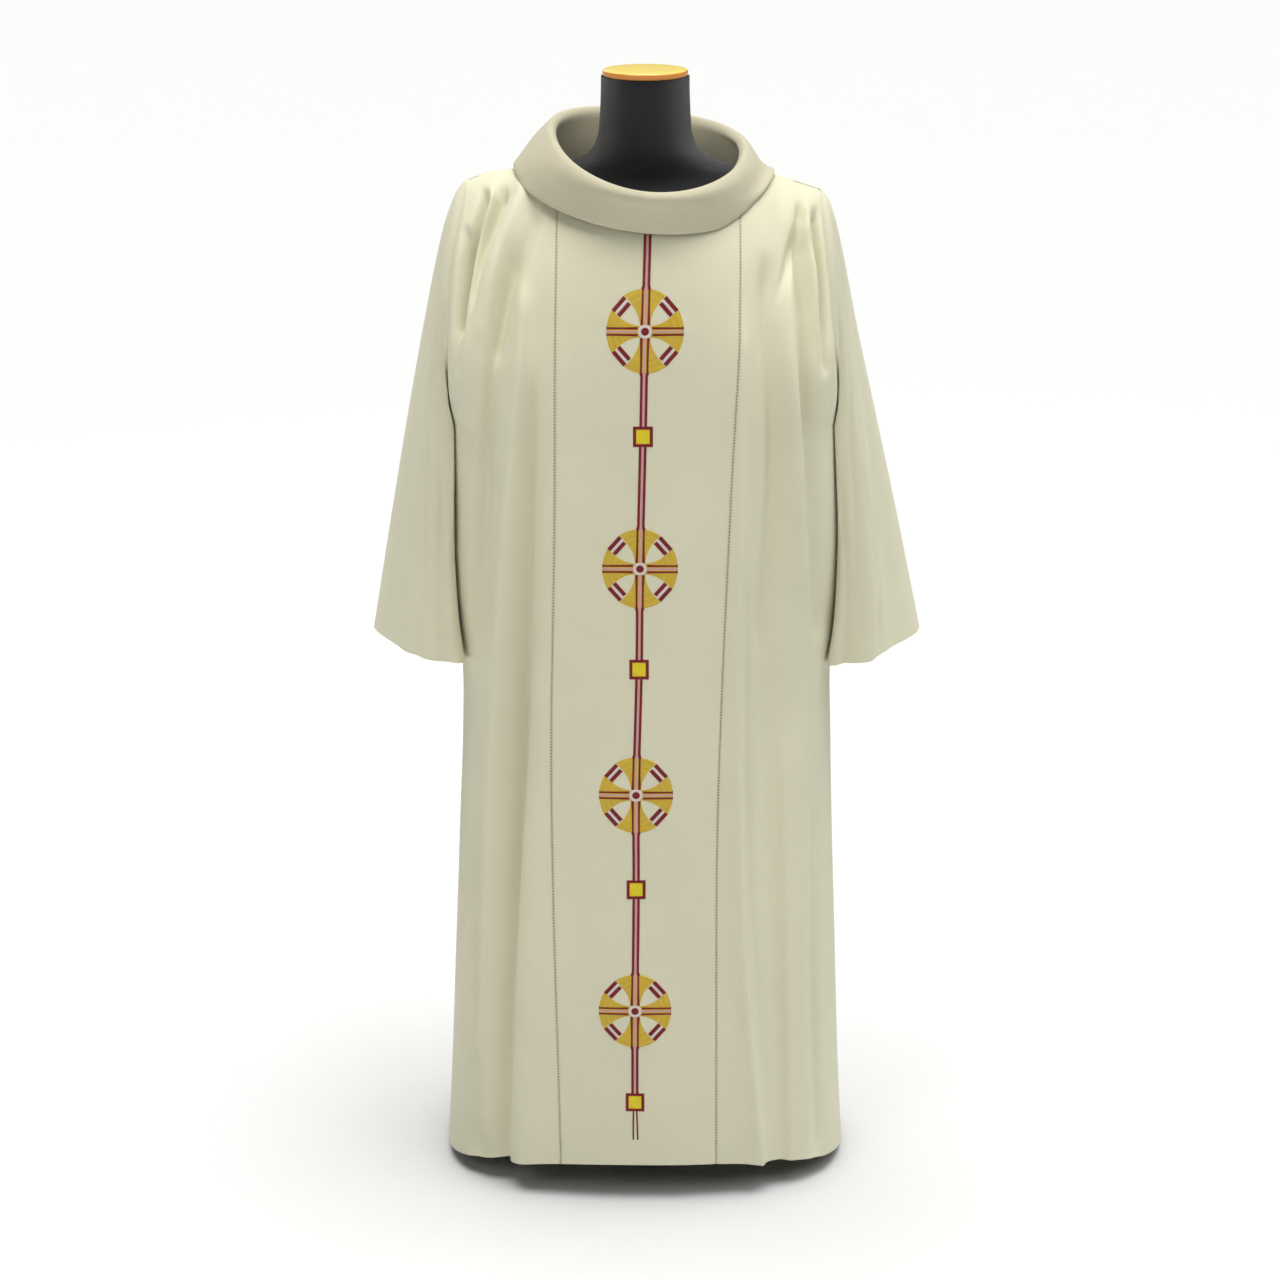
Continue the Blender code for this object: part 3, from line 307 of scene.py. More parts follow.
def ridge_z(x, side):
    """Height of the shoulder ridge, raised over the neck by the yoke's rise."""
    ridge = np.where(
        x < 0,
        column_of(RIDGE["right"], "z", np.abs(x), "x"),
        column_of(RIDGE["left"], "z", np.abs(x), "x"),
    )
    return ridge + YOKE[side].neck_rise * step(1 - np.abs(x) / NECK_HALF_WIDTH)


def fullness(x, side):
    """How full the yoke's rounding is: from its value at the centre to that at the shoulder."""
    yoke = YOKE[side]
    shoulder_share = step(np.abs(x) / SHOULDER_X)
    return yoke.centre_fullness + (yoke.shoulder_fullness - yoke.centre_fullness) * shoulder_share


def armhole_y(z):
    """Depth of the armhole's edge: a quarter of a sine wave up from the underarm."""
    return ARMHOLE_REACH * np.sin(np.pi / 2 * np.clip((z - UNDERARM_Z) / ARMHOLE_RISE, 0, 1))


def section_y(x, z, side):
    """Depth at a place seen from the front: the superellipse's, times the root of one less the
    rise over the underarm to the power of the fullness."""
    angle, armhole = angle_at(x, z), armhole_y(z)
    round_off = np.abs(np.cos(angle)) ** (2 / column_of(LEVELS, "square", z))
    flat_y = armhole + (column_of(LEVELS, side, z) - armhole) * round_off
    rise = np.clip((z - UNDERARM_Z) / (ridge_z(x, side) - UNDERARM_Z), 0, 1)
    return flat_y, flat_y * np.sqrt(1 - rise ** fullness(x, side))


def panel_height(x, y, side):
    """Height of the yoke at a place seen from above: section_y, solved for z in a few rounds."""
    z = np.full_like(x, NECK_POINT_Z)
    for _ in range(HEIGHT_ROUNDS):
        flat_y = section_y(x, z, side)[0]
        share = np.clip(np.abs(y) / flat_y, 0, NEARLY_FLAT)
        rise = (1 - share**2) ** (1 / fullness(x, side))
        z = UNDERARM_Z + (ridge_z(x, side) - UNDERARM_Z) * rise
    return z


def top_z(x, side):
    """Height of the top edge: over the neck, the yoke over a half oval; past it, the ridge."""
    across = np.sqrt(1 - np.clip(np.abs(x) / NECK_HALF_WIDTH, 0, 1) ** 2)
    return panel_height(x, YOKE[side].neck_depth * across, side)


def hem_z(angle, side):
    """Height of the hem: from the side's to the middle's with the cosine to a power."""
    return HEM_Z["side"] + (HEM_Z[side] - HEM_Z["side"]) * np.abs(np.cos(angle)) ** HEM_ROUND


@lru_cache
def limit_table(side):
    """Lowest and highest z of the body, at even steps of the column."""
    at = np.linspace(0, COLUMNS, LIMIT_STEPS + 1)
    neck_level = np.full_like(at, NECK_POINT_Z)
    highest = top_z(section_x(angle_of(at, neck_level), neck_level), side)
    lowest = hem_z(angle_of(at, np.full_like(at, HEM_Z["front"])), side)
    return at, lowest, highest


def limits_of(column, side):
    """Lowest and highest z of a column, read from the table."""
    at, lowest, highest = limit_table(side)
    return np.interp(column, at, lowest), np.interp(column, at, highest)


def body_base(side, column, v):
    """The body's surface without its folds: z from v, x from the column's angle, y from both."""
    column, v = np.broadcast_arrays(np.asarray(column, float), np.asarray(v, float))
    lowest, highest = limits_of(column, side)
    rise = 1 - (1 - np.clip(v - 1, 0, 1)) ** YOKE_CROWDING
    z = np.where(
        v < 1, lowest + (UNDERARM_Z - lowest) * v, UNDERARM_Z + (highest - UNDERARM_Z) * rise
    )
    x = section_x(angle_of(column, z), z)
    y = section_y(x, z, side)[1]
    return np.stack([x, SIGN[side] * y, z], axis=-1)


def place_of(x, z):
    """Column and v of a place of the centre panel: body_base solved for them."""
    right = angle_at(column_of(LINES, "seam_right", z), z)
    left = angle_at(column_of(LINES, "seam_left", z), z)
    column = COLUMN_AT[2] + STRIP.centre * (angle_at(x, z) - right) / (left - right)
    lowest, highest = limits_of(column, "front")
    rise = np.clip((z - UNDERARM_Z) / (highest - UNDERARM_Z), 0, 1)
    above = 2 - (1 - rise) ** (1 / YOKE_CROWDING)
    return column, np.where(z < UNDERARM_Z, (z - lowest) / (UNDERARM_Z - lowest), above)


def normal_of(surface, column, v, most_column, most_v=2.0):
    """The normal of a surface(column, v), by differences."""
    most_v -= NEAR / 100
    left, right = np.clip(column - NEAR, 0, most_column), np.clip(column + NEAR, 0, most_column)
    low, high = np.clip(v - NEAR, 0, most_v), np.clip(v + NEAR, 0, most_v)
    level = np.clip(v, 0, most_v)
    return unit(np.cross(surface(right, level) - surface(left, level),
                         surface(column, high) - surface(column, low)))


def fold_depth(folds, x, z):
    """The sum over the folds of a bell across each path, faded past its ends."""
    total = np.zeros_like(x)
    for fold in folds:
        heights = (fold.low_z, fold.mid_z, fold.high_z)
        path = through(heights, (fold.low_x, fold.mid_x, fold.high_x), z)
        depth = through(heights, (fold.low_depth, fold.mid_depth, fold.high_depth), z)
        width = np.where(x < path, fold.minus, fold.plus)
        past = np.maximum(fold.low_z - z, z - fold.high_z)
        total += depth * bell(x - path, width) * (1 - step(past / fold.run_out))
    return total


# Waves of the cloth: radians a metre across and along it, and a height.
Sway = namedtuple("Sway", "across along phase height")
SWAYS = (
    Sway(38.0, 7.0, 0.4, 0.00045),
    Sway(23.0, -11.0, 2.1, 0.00050),
    Sway(61.0, 16.0, 4.0, 0.00022),
)


def sway(x, z):
    """Slight unevenness of hanging cloth: a sum of slanted sine waves."""
    return sum(s.height * np.sin(s.across * x + s.along * z + s.phase) for s in SWAYS)


def puckers(x, z):
    """Where dense embroidery draws the cloth in: waves round each roundel, in a ring just outside
    its edge, which die out with distance."""
    total = np.zeros_like(x)
    for centre in ROUNDELS:
        across, up = (x - centre.x) / ROUNDEL_HALF.x, (z - centre.z) / ROUNDEL_HALF.z
        radius, turn = np.hypot(across, up), np.arctan2(up, across)
        ring = bell(radius - PUCKER.radius, PUCKER.width)
        turn += centre.z * PUCKER.shift / PUCKER.waves
        total += PUCKER.height * ring * np.cos(PUCKER.waves * turn)
    return total


def body(side, column, v):
    """The body's outer surface: the base, moved along its normal by folds, sway and puckers."""
    base = body_base(side, column, v)
    out = normal_of(lambda c, h: body_base(side, c, h), column, v, COLUMNS)
    if side == "back":
        out = -out
    x, z = base[..., 0], base[..., 2]
    depth = fold_depth(FOLDS[side], x, z) + sway(x, z)
    if side == "front":
        depth += puckers(x, z)
    from_side = np.pi / 2 - np.abs(angle_at(x, z))
    depth *= step(from_side / SIDE_FADE) * step((2 - v) / TOP_FADE)
    fine = fold_depth(CREASES[side], x, z)
    depth += fine * step(from_side / CREASE_SIDE_FADE) * step((2 - v) / CREASE_TOP_FADE)
    return base + out * depth[..., None]


# ---- The sleeves' surface ----------------------------------------------------------------

# A ring at a share of the sleeve's length: where its outer and inner line are, and its depth.
SleeveRing = namedtuple("SleeveRing", "share outer_x outer_z inner_x inner_z depth")
SLEEVES = {
    "right": (
        SleeveRing(0.00, 0.2345, 1.3893, 0.2600, 1.080, 0.098),
        SleeveRing(0.05, 0.2472, 1.3740, 0.2622, 1.066, 0.100),
        SleeveRing(0.11, 0.2598, 1.3450, 0.2640, 1.048, 0.102),
        SleeveRing(0.22, 0.2727, 1.2980, 0.2662, 1.012, 0.106),
        SleeveRing(0.40, 0.2925, 1.2050, 0.2680, 0.950, 0.110),
        SleeveRing(0.60, 0.3180, 1.0750, 0.2680, 0.877, 0.113),
        SleeveRing(0.80, 0.3455, 0.9250, 0.2650, 0.806, 0.115),
        SleeveRing(1.00, 0.3720, 0.7740, 0.2590, 0.753, 0.116),
    ),
    "left": (
        SleeveRing(0.00, 0.2305, 1.3765, 0.2570, 1.080, 0.098),
        SleeveRing(0.05, 0.2405, 1.3640, 0.2600, 1.066, 0.100),
        SleeveRing(0.11, 0.2505, 1.3350, 0.2625, 1.048, 0.102),
        SleeveRing(0.22, 0.2625, 1.2850, 0.2660, 1.012, 0.106),
        SleeveRing(0.40, 0.2815, 1.1950, 0.2700, 0.950, 0.110),
        SleeveRing(0.60, 0.3110, 1.0680, 0.2712, 0.877, 0.113),
        SleeveRing(0.80, 0.3440, 0.9250, 0.2690, 0.806, 0.115),
        SleeveRing(1.00, 0.3770, 0.7740, 0.2620, 0.749, 0.116),
    ),
}
# The outline of half a cuff, from the inner line to the outer one.
CuffPoint = namedtuple("CuffPoint", "share across depth")
CUFF = (
    CuffPoint(0.00, 0.000, 0.00),
    CuffPoint(0.15, 0.000, 0.36),
    CuffPoint(0.27, 0.010, 0.62),
    CuffPoint(0.35, 0.030, 0.77),
    CuffPoint(0.43, 0.090, 0.86),
    CuffPoint(0.60, 0.330, 0.80),
    CuffPoint(0.78, 0.680, 0.49),
    CuffPoint(0.91, 0.930, 0.175),
    CuffPoint(1.00, 1.000, 0.00),
)
# A path from one share of the length to another, and from one share of the way across.
SleeveFold = namedtuple("SleeveFold", "side start end across_start across_end depth width")
SLEEVE_FOLDS = {
    "right": (
        SleeveFold("front", 0.30, 1.00, 0.62, 0.42, 0.004, 0.22),
        SleeveFold("front", 0.15, 0.90, 0.25, 0.15, -0.003, 0.14),
        SleeveFold("back", 0.30, 1.00, 0.60, 0.50, -0.006, 0.20),
    ),
    "left": (
        SleeveFold("front", 0.22, 1.00, 0.45, 0.14, -0.007, 0.11),
        SleeveFold("front", 0.22, 1.00, 0.68, 0.40, 0.006, 0.14),
        SleeveFold("front", 0.30, 1.00, 0.90, 0.66, -0.004, 0.12),
        SleeveFold("back", 0.30, 1.00, 0.55, 0.45, -0.006, 0.20),
    ),
}
SLEEVE_CREASES = {
    "right": (
        SleeveFold("front", 0.04, 0.70, 0.80, 0.42, -0.0035, 0.060),
        SleeveFold("front", 0.10, 0.80, 0.62, 0.55, 0.0025, 0.080),
        SleeveFold("front", 0.35, 1.00, 0.20, 0.14, -0.0030, 0.050),
        SleeveFold("back", 0.06, 0.80, 0.78, 0.40, -0.0040, 0.070),
        SleeveFold("back", 0.35, 1.00, 0.24, 0.16, -0.0030, 0.055),
    ),
    "left": (
        SleeveFold("front", 0.03, 0.60, 0.86, 0.50, -0.0035, 0.060),
        SleeveFold("front", 0.30, 1.00, 0.10, 0.13, -0.0045, 0.040),
        SleeveFold("front", 0.36, 1.00, 0.58, 0.30, 0.0035, 0.070),
        SleeveFold("front", 0.55, 1.00, 0.84, 0.42, -0.0035, 0.045),
        SleeveFold("back", 0.06, 0.80, 0.80, 0.42, -0.0040, 0.070),
        SleeveFold("back", 0.35, 1.00, 0.22, 0.15, -0.0030, 0.055),
    ),
}
# How far past its start a fold has faded in, and past w INNER_CLEAR and before the outer line.
SLEEVE_FADE = 0.15
INNER_CLEAR, INNER_FADE, OUTER_FADE = 0.36, 0.10, 0.12
CUFF_TURN = 0.45  # the share by which the armhole's outline has turned into the cuff's
# The sleeve's front and back lean in against the body: how far, and where round the half ring.
TUCK, CUFF_TUCK, TUCK_AT, TUCK_WIDTH = 0.012, 0.0195, 0.34, 0.15
# Near the armhole the inner wall lies along the body: how clear, how far round, how far down,
# and how far inwards it moves at most.
BODY_CLEAR, HELD_ACROSS, HELD_FADE, HELD_START, HELD_END = 0.0020, 0.38, 0.14, 0.14, 0.28
HELD_MOST = 0.014
SLEEVE_GAP = 0.0005


def side_x(name, side, y, z):
    """How far out the body's plain section stands at a depth: the superellipse turned round."""
    armhole, square = armhole_y(z), column_of(LEVELS, "square", z)
    inward = np.clip((np.abs(y) - armhole) / (column_of(LEVELS, side, z) - armhole), 0, 1)
    return column_of(LEVELS, name, z) * (1 - inward**square) ** (1 / square)


def leaned(out, wall, share, w):
    """How far out the sleeve stands once it leans in: less the tuck, which grows towards the cuff,
    and near the armhole drawn to the body's wall."""
    tuck = (TUCK + (CUFF_TUCK - TUCK) * share) * step(share / CUFF_TURN)
    out = out - tuck * bell(w - TUCK_AT, TUCK_WIDTH) * step(w / TUCK_WIDTH)
    near = (1 - step((w - HELD_ACROSS) / HELD_FADE)) * step(share / HELD_START)
    held = np.where(out > wall, 1 - step((share - HELD_END) / HELD_END), 1)
    return out + np.maximum(wall - out, -HELD_MOST) * near * held


def sleeve_base(name, side, share, w):
    """One half of a sleeve: rings from the armhole to the cuff, each from the inner line (w 0) to
    the outer line (w 1), whose outline turns from the armhole's into the cuff's."""
    share, w = np.broadcast_arrays(np.asarray(share, float), np.asarray(w, float))
    rows, sign, level = SLEEVES[name], SIGN[name], np.zeros_like(w)
    outer_x, outer_z, inner_x, inner_z = (
        column_of(rows, key, share, "share") for key in ("outer_x", "outer_z", "inner_x", "inner_z")
    )
    outer = np.stack([sign * outer_x, level, outer_z], axis=-1)
    inner = np.stack([sign * inner_x, level, inner_z], axis=-1)
    edge = body_base(side, ARMHOLE_COLUMN[name], 1 + w)
    first = rows[0]
    edge_across = np.clip((edge[..., 2] - UNDERARM_Z) / (first.outer_z - UNDERARM_Z), 0, 1)
    turn = step(share / CUFF_TURN)
    across = (1 - turn) * edge_across + turn * column_of(CUFF, "across", w, "share")
    cuff_depth = column_of(CUFF, "depth", w, "share") * column_of(rows, "depth", share, "share")
    depth = (1 - turn) * np.abs(edge[..., 1]) + turn * cuff_depth
    point = inner + (outer - inner) * across[..., None]
    line_x = sign * (first.inner_x + (first.outer_x - first.inner_x) * edge_across)
    point[..., 0] += (edge[..., 0] - line_x) * (1 - turn)
    wall = side_x(name, side, depth, point[..., 2]) + BODY_CLEAR
    point[..., 0] = sign * leaned(sign * point[..., 0], wall, share, w)
    point[..., 1] = SIGN[side] * depth
    return point


def sleeve(name, side, share, w):
    """One half of a sleeve with its folds: bells across each path, faded at its start and at the
    sleeve's outer line."""
    share, w = np.broadcast_arrays(np.asarray(share, float), np.asarray(w, float))
    base = sleeve_base(name, side, share, w)
    out = normal_of(lambda a, b: sleeve_base(name, side, a, b), share, w, 1.0, 1.0)
    if (name == "left") != (side == "front"):
        out = -out
    across = column_of(CUFF, "across", w, "share")
    depth = np.zeros_like(w)
    for fold in SLEEVE_FOLDS[name] + SLEEVE_CREASES[name]:
        if fold.side != side:
            continue
        along = np.clip((share - fold.start) / (fold.end - fold.start), 0, 1)
        path = fold.across_start + (fold.across_end - fold.across_start) * along
        fade = step((share - fold.start) / SLEEVE_FADE)
        depth += fold.depth * fade * bell(across - path, fold.width)
    depth += sway(base[..., 0] + base[..., 1], base[..., 2])
    depth *= step((1 - w) / OUTER_FADE) * step((w - INNER_CLEAR) / INNER_FADE)
    return base + out * depth[..., None] + np.array([SIGN[name] * SLEEVE_GAP, 0, 0])


# ---- The collar's surface ----------------------------------------------------------------

Loop = namedtuple("Loop", "front left back right")
RIM_REACH = Loop(0.163, 0.131, 0.092, 0.124)
RIM_Z = Loop(1.4000, 1.433, 1.468, 1.4595)
FREE_REACH = Loop(0.1455, 0.169, 0.120, 0.172)
FREE_Z = Loop(1.345, 1.372, 1.402, 1.404)
ROLL_RADIUS = 0.007
FALL_CLEARANCE = 0.0060
FOOT_INSET, FOOT_RISE = 0.0010, 0.0006
UP = np.array([0.0, 0.0, 1.0])
# Places along the collar's path, on its way up from the foot to the rim and down to the free
# edge: a share of the straight way, and how far outwards and up from it.
Station = namedtuple("Station", "share out up")
STAND = (Station(0.0, 0.0, 0.0), Station(0.25, -0.003, 0.0), Station(0.70, -0.006, 0.0),
         Station(1.0, -ROLL_RADIUS, -0.9 * ROLL_RADIUS), Station(1.0, 0.0, 0.0))
FALL = (Station(0.0, ROLL_RADIUS, -0.8 * ROLL_RADIUS), Station(0.45, 0.005, 0.0),
        Station(1.0, 0.0, 0.0))


def round_loop(loop, turn):
    """A value round the neck: a mean, the first cosine and sine, and the second cosine."""
    mean = (loop.front + loop.left + loop.back + loop.right) / 4
    across = (loop.front + loop.back - loop.left - loop.right) / 4
    return (
        mean
        + (loop.front - loop.back) / 2 * np.cos(turn)
        + (loop.left - loop.right) / 2 * np.sin(turn)
        + across * np.cos(2 * turn)
    )


def reach_point(loop, turn):
    """x and y of a loop given by its reaches: an oval with a different radius at each side."""
    x = np.sin(turn) * np.where(np.sin(turn) > 0, loop.left, loop.right)
    y = -np.cos(turn) * np.where(np.cos(turn) > 0, loop.front, loop.back)
    return x, y


def collar_edges(turn, out):
    """The collar's foot on the neckline, its rolled rim and its free edge, at each turn."""
    foot_x = NECK_HALF_WIDTH * np.sin(turn)
    in_front = np.cos(turn) > 0
    foot_y = -np.cos(turn) * np.where(in_front, YOKE["front"].neck_depth, YOKE["back"].neck_depth)
    foot_z = np.where(in_front, top_z(foot_x, "front"), top_z(foot_x, "back"))
    foot = np.stack([foot_x, foot_y, foot_z], axis=-1) - FOOT_INSET * out + FOOT_RISE * UP
    rim = np.stack([*reach_point(RIM_REACH, turn), round_loop(RIM_Z, turn)], axis=-1)
    free = np.stack([*reach_point(FREE_REACH, turn), round_loop(FREE_Z, turn)], axis=-1)
    return foot, rim, free


def collar_line(turn, along):
    """Middle of the collar's cloth: a smooth path from the foot on the neckline, up inside to the
    rolled rim, over it and down to the free edge, at each turn round the neck."""
    out = np.stack([np.sin(turn), -np.cos(turn), np.zeros_like(turn)], axis=-1)
    foot, rim, free = collar_edges(turn, out)
    stations = np.stack(
        [foot + at.share * (rim - foot) + at.out * out + at.up * UP for at in STAND]
        + [rim + at.share * (free - rim) + at.out * out + at.up * UP for at in FALL]
    )
    for station in stations[len(STAND):]:
        x, y = station[..., 0], station[..., 1]
        panel_z = np.where(y < 0, panel_height(x, y, "front"), panel_height(x, y, "back"))
        station[..., 2] = np.maximum(station[..., 2], panel_z + FALL_CLEARANCE)
    lengths = np.linalg.norm(np.diff(stations, axis=0), axis=-1)
    lengths = lengths.reshape(len(lengths), -1).mean(axis=1)
    marks = np.concatenate([[0], np.cumsum(lengths)]) / lengths.sum()
    return through(marks, stations, along)


# ---- The embroidery's plan ---------------------------------------------------------------

Place = namedtuple("Place", "x z")
ROUNDEL_HALF = Place(0.0492, 0.0537)
ROUNDELS = (
    Place(-0.0004, 1.2243),
    Place(-0.0068, 0.9115),
    Place(-0.0121, 0.5980),
    Place(-0.0136, 0.2856),
)
SQUARE_HALF = Place(0.0128, 0.0135)
SQUARES = (
    Place(-0.0030, 1.0880),
    Place(-0.0080, 0.7740),
    Place(-0.0120, 0.4630),
    Place(-0.0137, 0.1496),
)
BORDER = 0.0040
STEM_TOP = Place(0.0030, 1.3420)
STEM_END = Place(-0.0130, 0.0930)
# Waves round a roundel: their ring's radius and width, where 1 is the roundel's edge, their
# height and number, and how they turn from one roundel to another, in radians a metre.
Pucker = namedtuple("Pucker", "radius width height waves shift")
PUCKER = Pucker(1.22, 0.20, 0.0006, 9, 10.0)
# Across a roundel, 1 is its edge. An arm runs from the middle square, flares and ends on the
# circle, over this many degrees to each side of its axis.
Arm = namedtuple("Arm", "turn half_degrees")
ARMS = (Arm(0, 33.0), Arm(90, 31.0), Arm(180, 33.0), Arm(270, 31.0))
ARM_ROOT = 0.14
# Two short bars in each gap between the arms, and the pale threads between them.
Bar = namedtuple("Bar", "radius half_length half_width")
BARS = (Bar(0.925, 0.222, 0.052), Bar(0.748, 0.205, 0.052))
PALE_BAR = Bar(0.837, 0.185, 0.042)
GAP_DEGREES = (43.5, 136.5, 223.5, 316.5)
# The twin lines: half the pale middle, each line, and how much thinner they are on the stem.
LINE_HALF_GAP, LINE_WIDTH = 0.0020, 0.0042
STEM_THIN, STEM_EASE = 0.80, 0.004
TAIL_OFFSETS, TAIL_HALF_WIDTH = (0.0039, 0.0029), 0.0014
DOT_RADIUS, DOT_HOLE = 0.0051, 0.0004
RING_RADIUS, RING_TUCK, RING_OVERLAP = 0.0088, 0.0003, 0.0006
# Satin stitches: the distances between threads, the stem's slant, and the shares of their height
# that they lose between two threads, and at an arm's or a strip's ends within these widths.
THREAD_PITCH, STEM_PITCH, STEM_SLANT = 0.0008, 0.0010, 0.5
RIDGE_SHARE, END_ROUND = 0.20, 1.02
ARM_END, ARM_END_WIDTH = 0.7, 0.02
STRIP_END, STRIP_END_WIDTH = 0.8, 0.25
# Rows to a thread, and points across.
STRIP_FINE, STEM_FINE = 2.6, 2.2
ARM_ACROSS, STRIP_ACROSS, RING_ACROSS, RING_AROUND = 11, 4, 9, 48
# How far a patch is raised over others, as a share of the stitches' height.
LINE_LIFT, MIDDLE_LIFT, BAR_LIFT, DOT_LIFT, RING_LIFT = 0.35, 0.45, 0.25, 0.90, 0.70
BORDER_LIFTS = (0.30, 0.32)
SINK = 0.0004  # how far every embroidered patch reaches into the cloth

# The bars of thread across the seams, and how finely a seam is measured for them.
SEAM_STEPS, SEAM_START, SEAM_NEAR = 4000, 0.002, 0.02
ROD_RINGS, ROD_POINTS, ROD_BLUNT, ROD_END = 9, 6, 6, 0.0001
ROD_BEND, ROD_SINK = 0.0006, 0.0003
OLIVE_THREAD = (0.6, 0.0006)  # how rough it is, and the pitch of its strands

# ---- The dress form ----------------------------------------------------------------------

FormRing = namedtuple("FormRing", "z half_width front back")
FORM = (
    FormRing(0.712, 0.1400, 0.094, 0.098),
    FormRing(0.716, 0.1520, 0.104, 0.108),
    FormRing(0.728, 0.1600, 0.110, 0.114),
    FormRing(0.790, 0.1680, 0.116, 0.122),
    FormRing(0.860, 0.1660, 0.115, 0.121),
    FormRing(0.930, 0.1560, 0.110, 0.113),
    FormRing(0.990, 0.1500, 0.107, 0.107),
    FormRing(1.060, 0.1590, 0.113, 0.111),
    FormRing(1.130, 0.1740, 0.123, 0.117),
    FormRing(1.200, 0.1880, 0.129, 0.118),
    FormRing(1.260, 0.1980, 0.122, 0.112),
    FormRing(1.305, 0.2050, 0.104, 0.098),
    FormRing(1.340, 0.2080, 0.083, 0.080),
    FormRing(1.3632, 0.2060, 0.068, 0.068),
    FormRing(1.3762, 0.2010, 0.054, 0.056),
    FormRing(1.3856, 0.1910, 0.047, 0.049),
    FormRing(1.3958, 0.1690, 0.043, 0.045),
    FormRing(1.4038, 0.1390, 0.043, 0.045),
    FormRing(1.4118, 0.1050, 0.046, 0.048),
    FormRing(1.4205, 0.0820, 0.050, 0.052),
    FormRing(1.4330, 0.0685, 0.053, 0.055),
    FormRing(1.4480, 0.0620, 0.0535, 0.0550),
    FormRing(1.4700, 0.0595, 0.0535, 0.0545),
    FormRing(1.4980, 0.0580, 0.0530, 0.0540),
    FormRing(1.5245, 0.0575, 0.0530, 0.0535),
)
TORSO_AROUND, TORSO_ROWS, TORSO_END = 72, 130, (0.002, 0.55)
Turning = namedtuple("Turning", "radius z")
TURNED_END = 0.0004
CAP_AROUND, POLE_AROUND, BASE_AROUND = 96, 64, 128
# Heights over which the cap's colour turns to the darker edge colour: painted shade.
EDGE_SHADE_TOP_Z, EDGE_SHADE_Z = 1.5329, 1.5312
NECK_CAP = (
    Turning(0.0200, 1.5247),
    Turning(0.0535, 1.5247),
    Turning(0.0550, 1.5254),
    Turning(0.0557, 1.5268),
    Turning(0.0558, 1.5290),
    Turning(0.0556, 1.5308),
    Turning(0.0549, 1.5321),
    Turning(0.0536, 1.53300),
    Turning(0.0510, 1.5334),
    Turning(0.0400, 1.5339),
    Turning(0.0200, 1.5343),
    Turning(0.0010, 1.5345),
)
BASE = (
    Turning(0.0200, 0.0000),
    Turning(0.0985, 0.0000),
    Turning(0.1000, 0.0012),
    Turning(0.1000, 0.0085),
    Turning(0.0985, 0.0112),
    Turning(0.0945, 0.0135),
    Turning(0.0880, 0.0143),
    Turning(0.0360, 0.0163),
    Turning(0.0300, 0.0170),
    Turning(0.0200, 0.0170),
)
POLE = (
    Turning(0.0100, 0.0173),
    Turning(0.0168, 0.0173),
    Turning(0.0175, 0.0182),
    Turning(0.0175, 0.7100),
    Turning(0.0168, 0.7114),
    Turning(0.0100, 0.7114),
)

# ---- Meshes ------------------------------------------------------------------------------

SHARP_DEGREES = 50.0
UV_NAME = "cloth"


def turns(count):
    """Even angles once round, from 0."""
    return np.linspace(0, 2 * np.pi, count + 1)[:-1]


def rings(across, deep, z, turn):
    """Rings of points: ellipses with these half sizes, at these heights."""
    grids = np.broadcast_arrays(across * np.cos(turn), deep * np.sin(turn), z)
    return np.stack(grids, axis=-1)


def rounded(grid):
    """A grid that closes round, with its first column again at the end."""
    return np.concatenate([grid, grid[:, :1]], axis=1)


def grid_normals(points, around=False):
    """Unit normals of a grid: the cross product of its steps along the columns and the rows."""
    if around:
        across = np.roll(points, -1, axis=1) - np.roll(points, 1, axis=1)
    else:
        across = np.gradient(points, axis=1)
    return unit(np.cross(across, np.gradient(points, axis=0)))


def lengths_along(points, axis):
    """Distance along the grid from its first row or column: the running sum of the steps."""
    steps = np.linalg.norm(np.diff(points, axis=axis), axis=-1)
    start = np.zeros_like(np.take(steps, [0], axis=axis))
    return np.concatenate([start, np.cumsum(steps, axis=axis)], axis=axis)


def uv_round(points):
    """UVs of a grid that closes round: the lengths along its rows and its columns."""
    wide = rounded(points)
    return np.stack([lengths_along(wide, 1), lengths_along(wide, 0)], axis=-1)


def grid_index(rows, columns, around):
    """Numbers of a grid's points, and of its UVs, which have one column more where it closes."""
    index = np.arange(rows * columns).reshape(rows, columns)
    if not around:
        return index, index
    return rounded(index), np.arange(rows * (columns + 1)).reshape(rows, columns + 1)


def corners(index):
    """The four corners of each cell of an index grid, anticlockwise."""
    cells = [index[:-1, :-1], index[:-1, 1:], index[1:, 1:], index[1:, :-1]]
    return np.stack(cells, axis=-1).reshape(-1, 4)


def cap(ring):
    """Quads that close an even ring, each from one side of it to the other."""
    near, far = np.split(ring, 2)
    far = far[::-1]
    return np.stack([near[:-1], near[1:], far[1:], far[:-1]], axis=-1)


def stack_faces(rows, columns, uv):
    """Faces of a closed stack of rings, whose first and last rings are all but a point, and their
    UVs: quads between the rings, and a cap on either end."""
    index, uv_index = grid_index(rows, columns, True)
    caps = np.concatenate([cap(index[0, :-1])[:, ::-1], cap(index[-1, :-1])])
    uvs = [uv.reshape(-1, 2)[corners(uv_index)], np.zeros(caps.shape + (2,))]
    return np.concatenate([corners(index), caps]), np.concatenate(uvs)


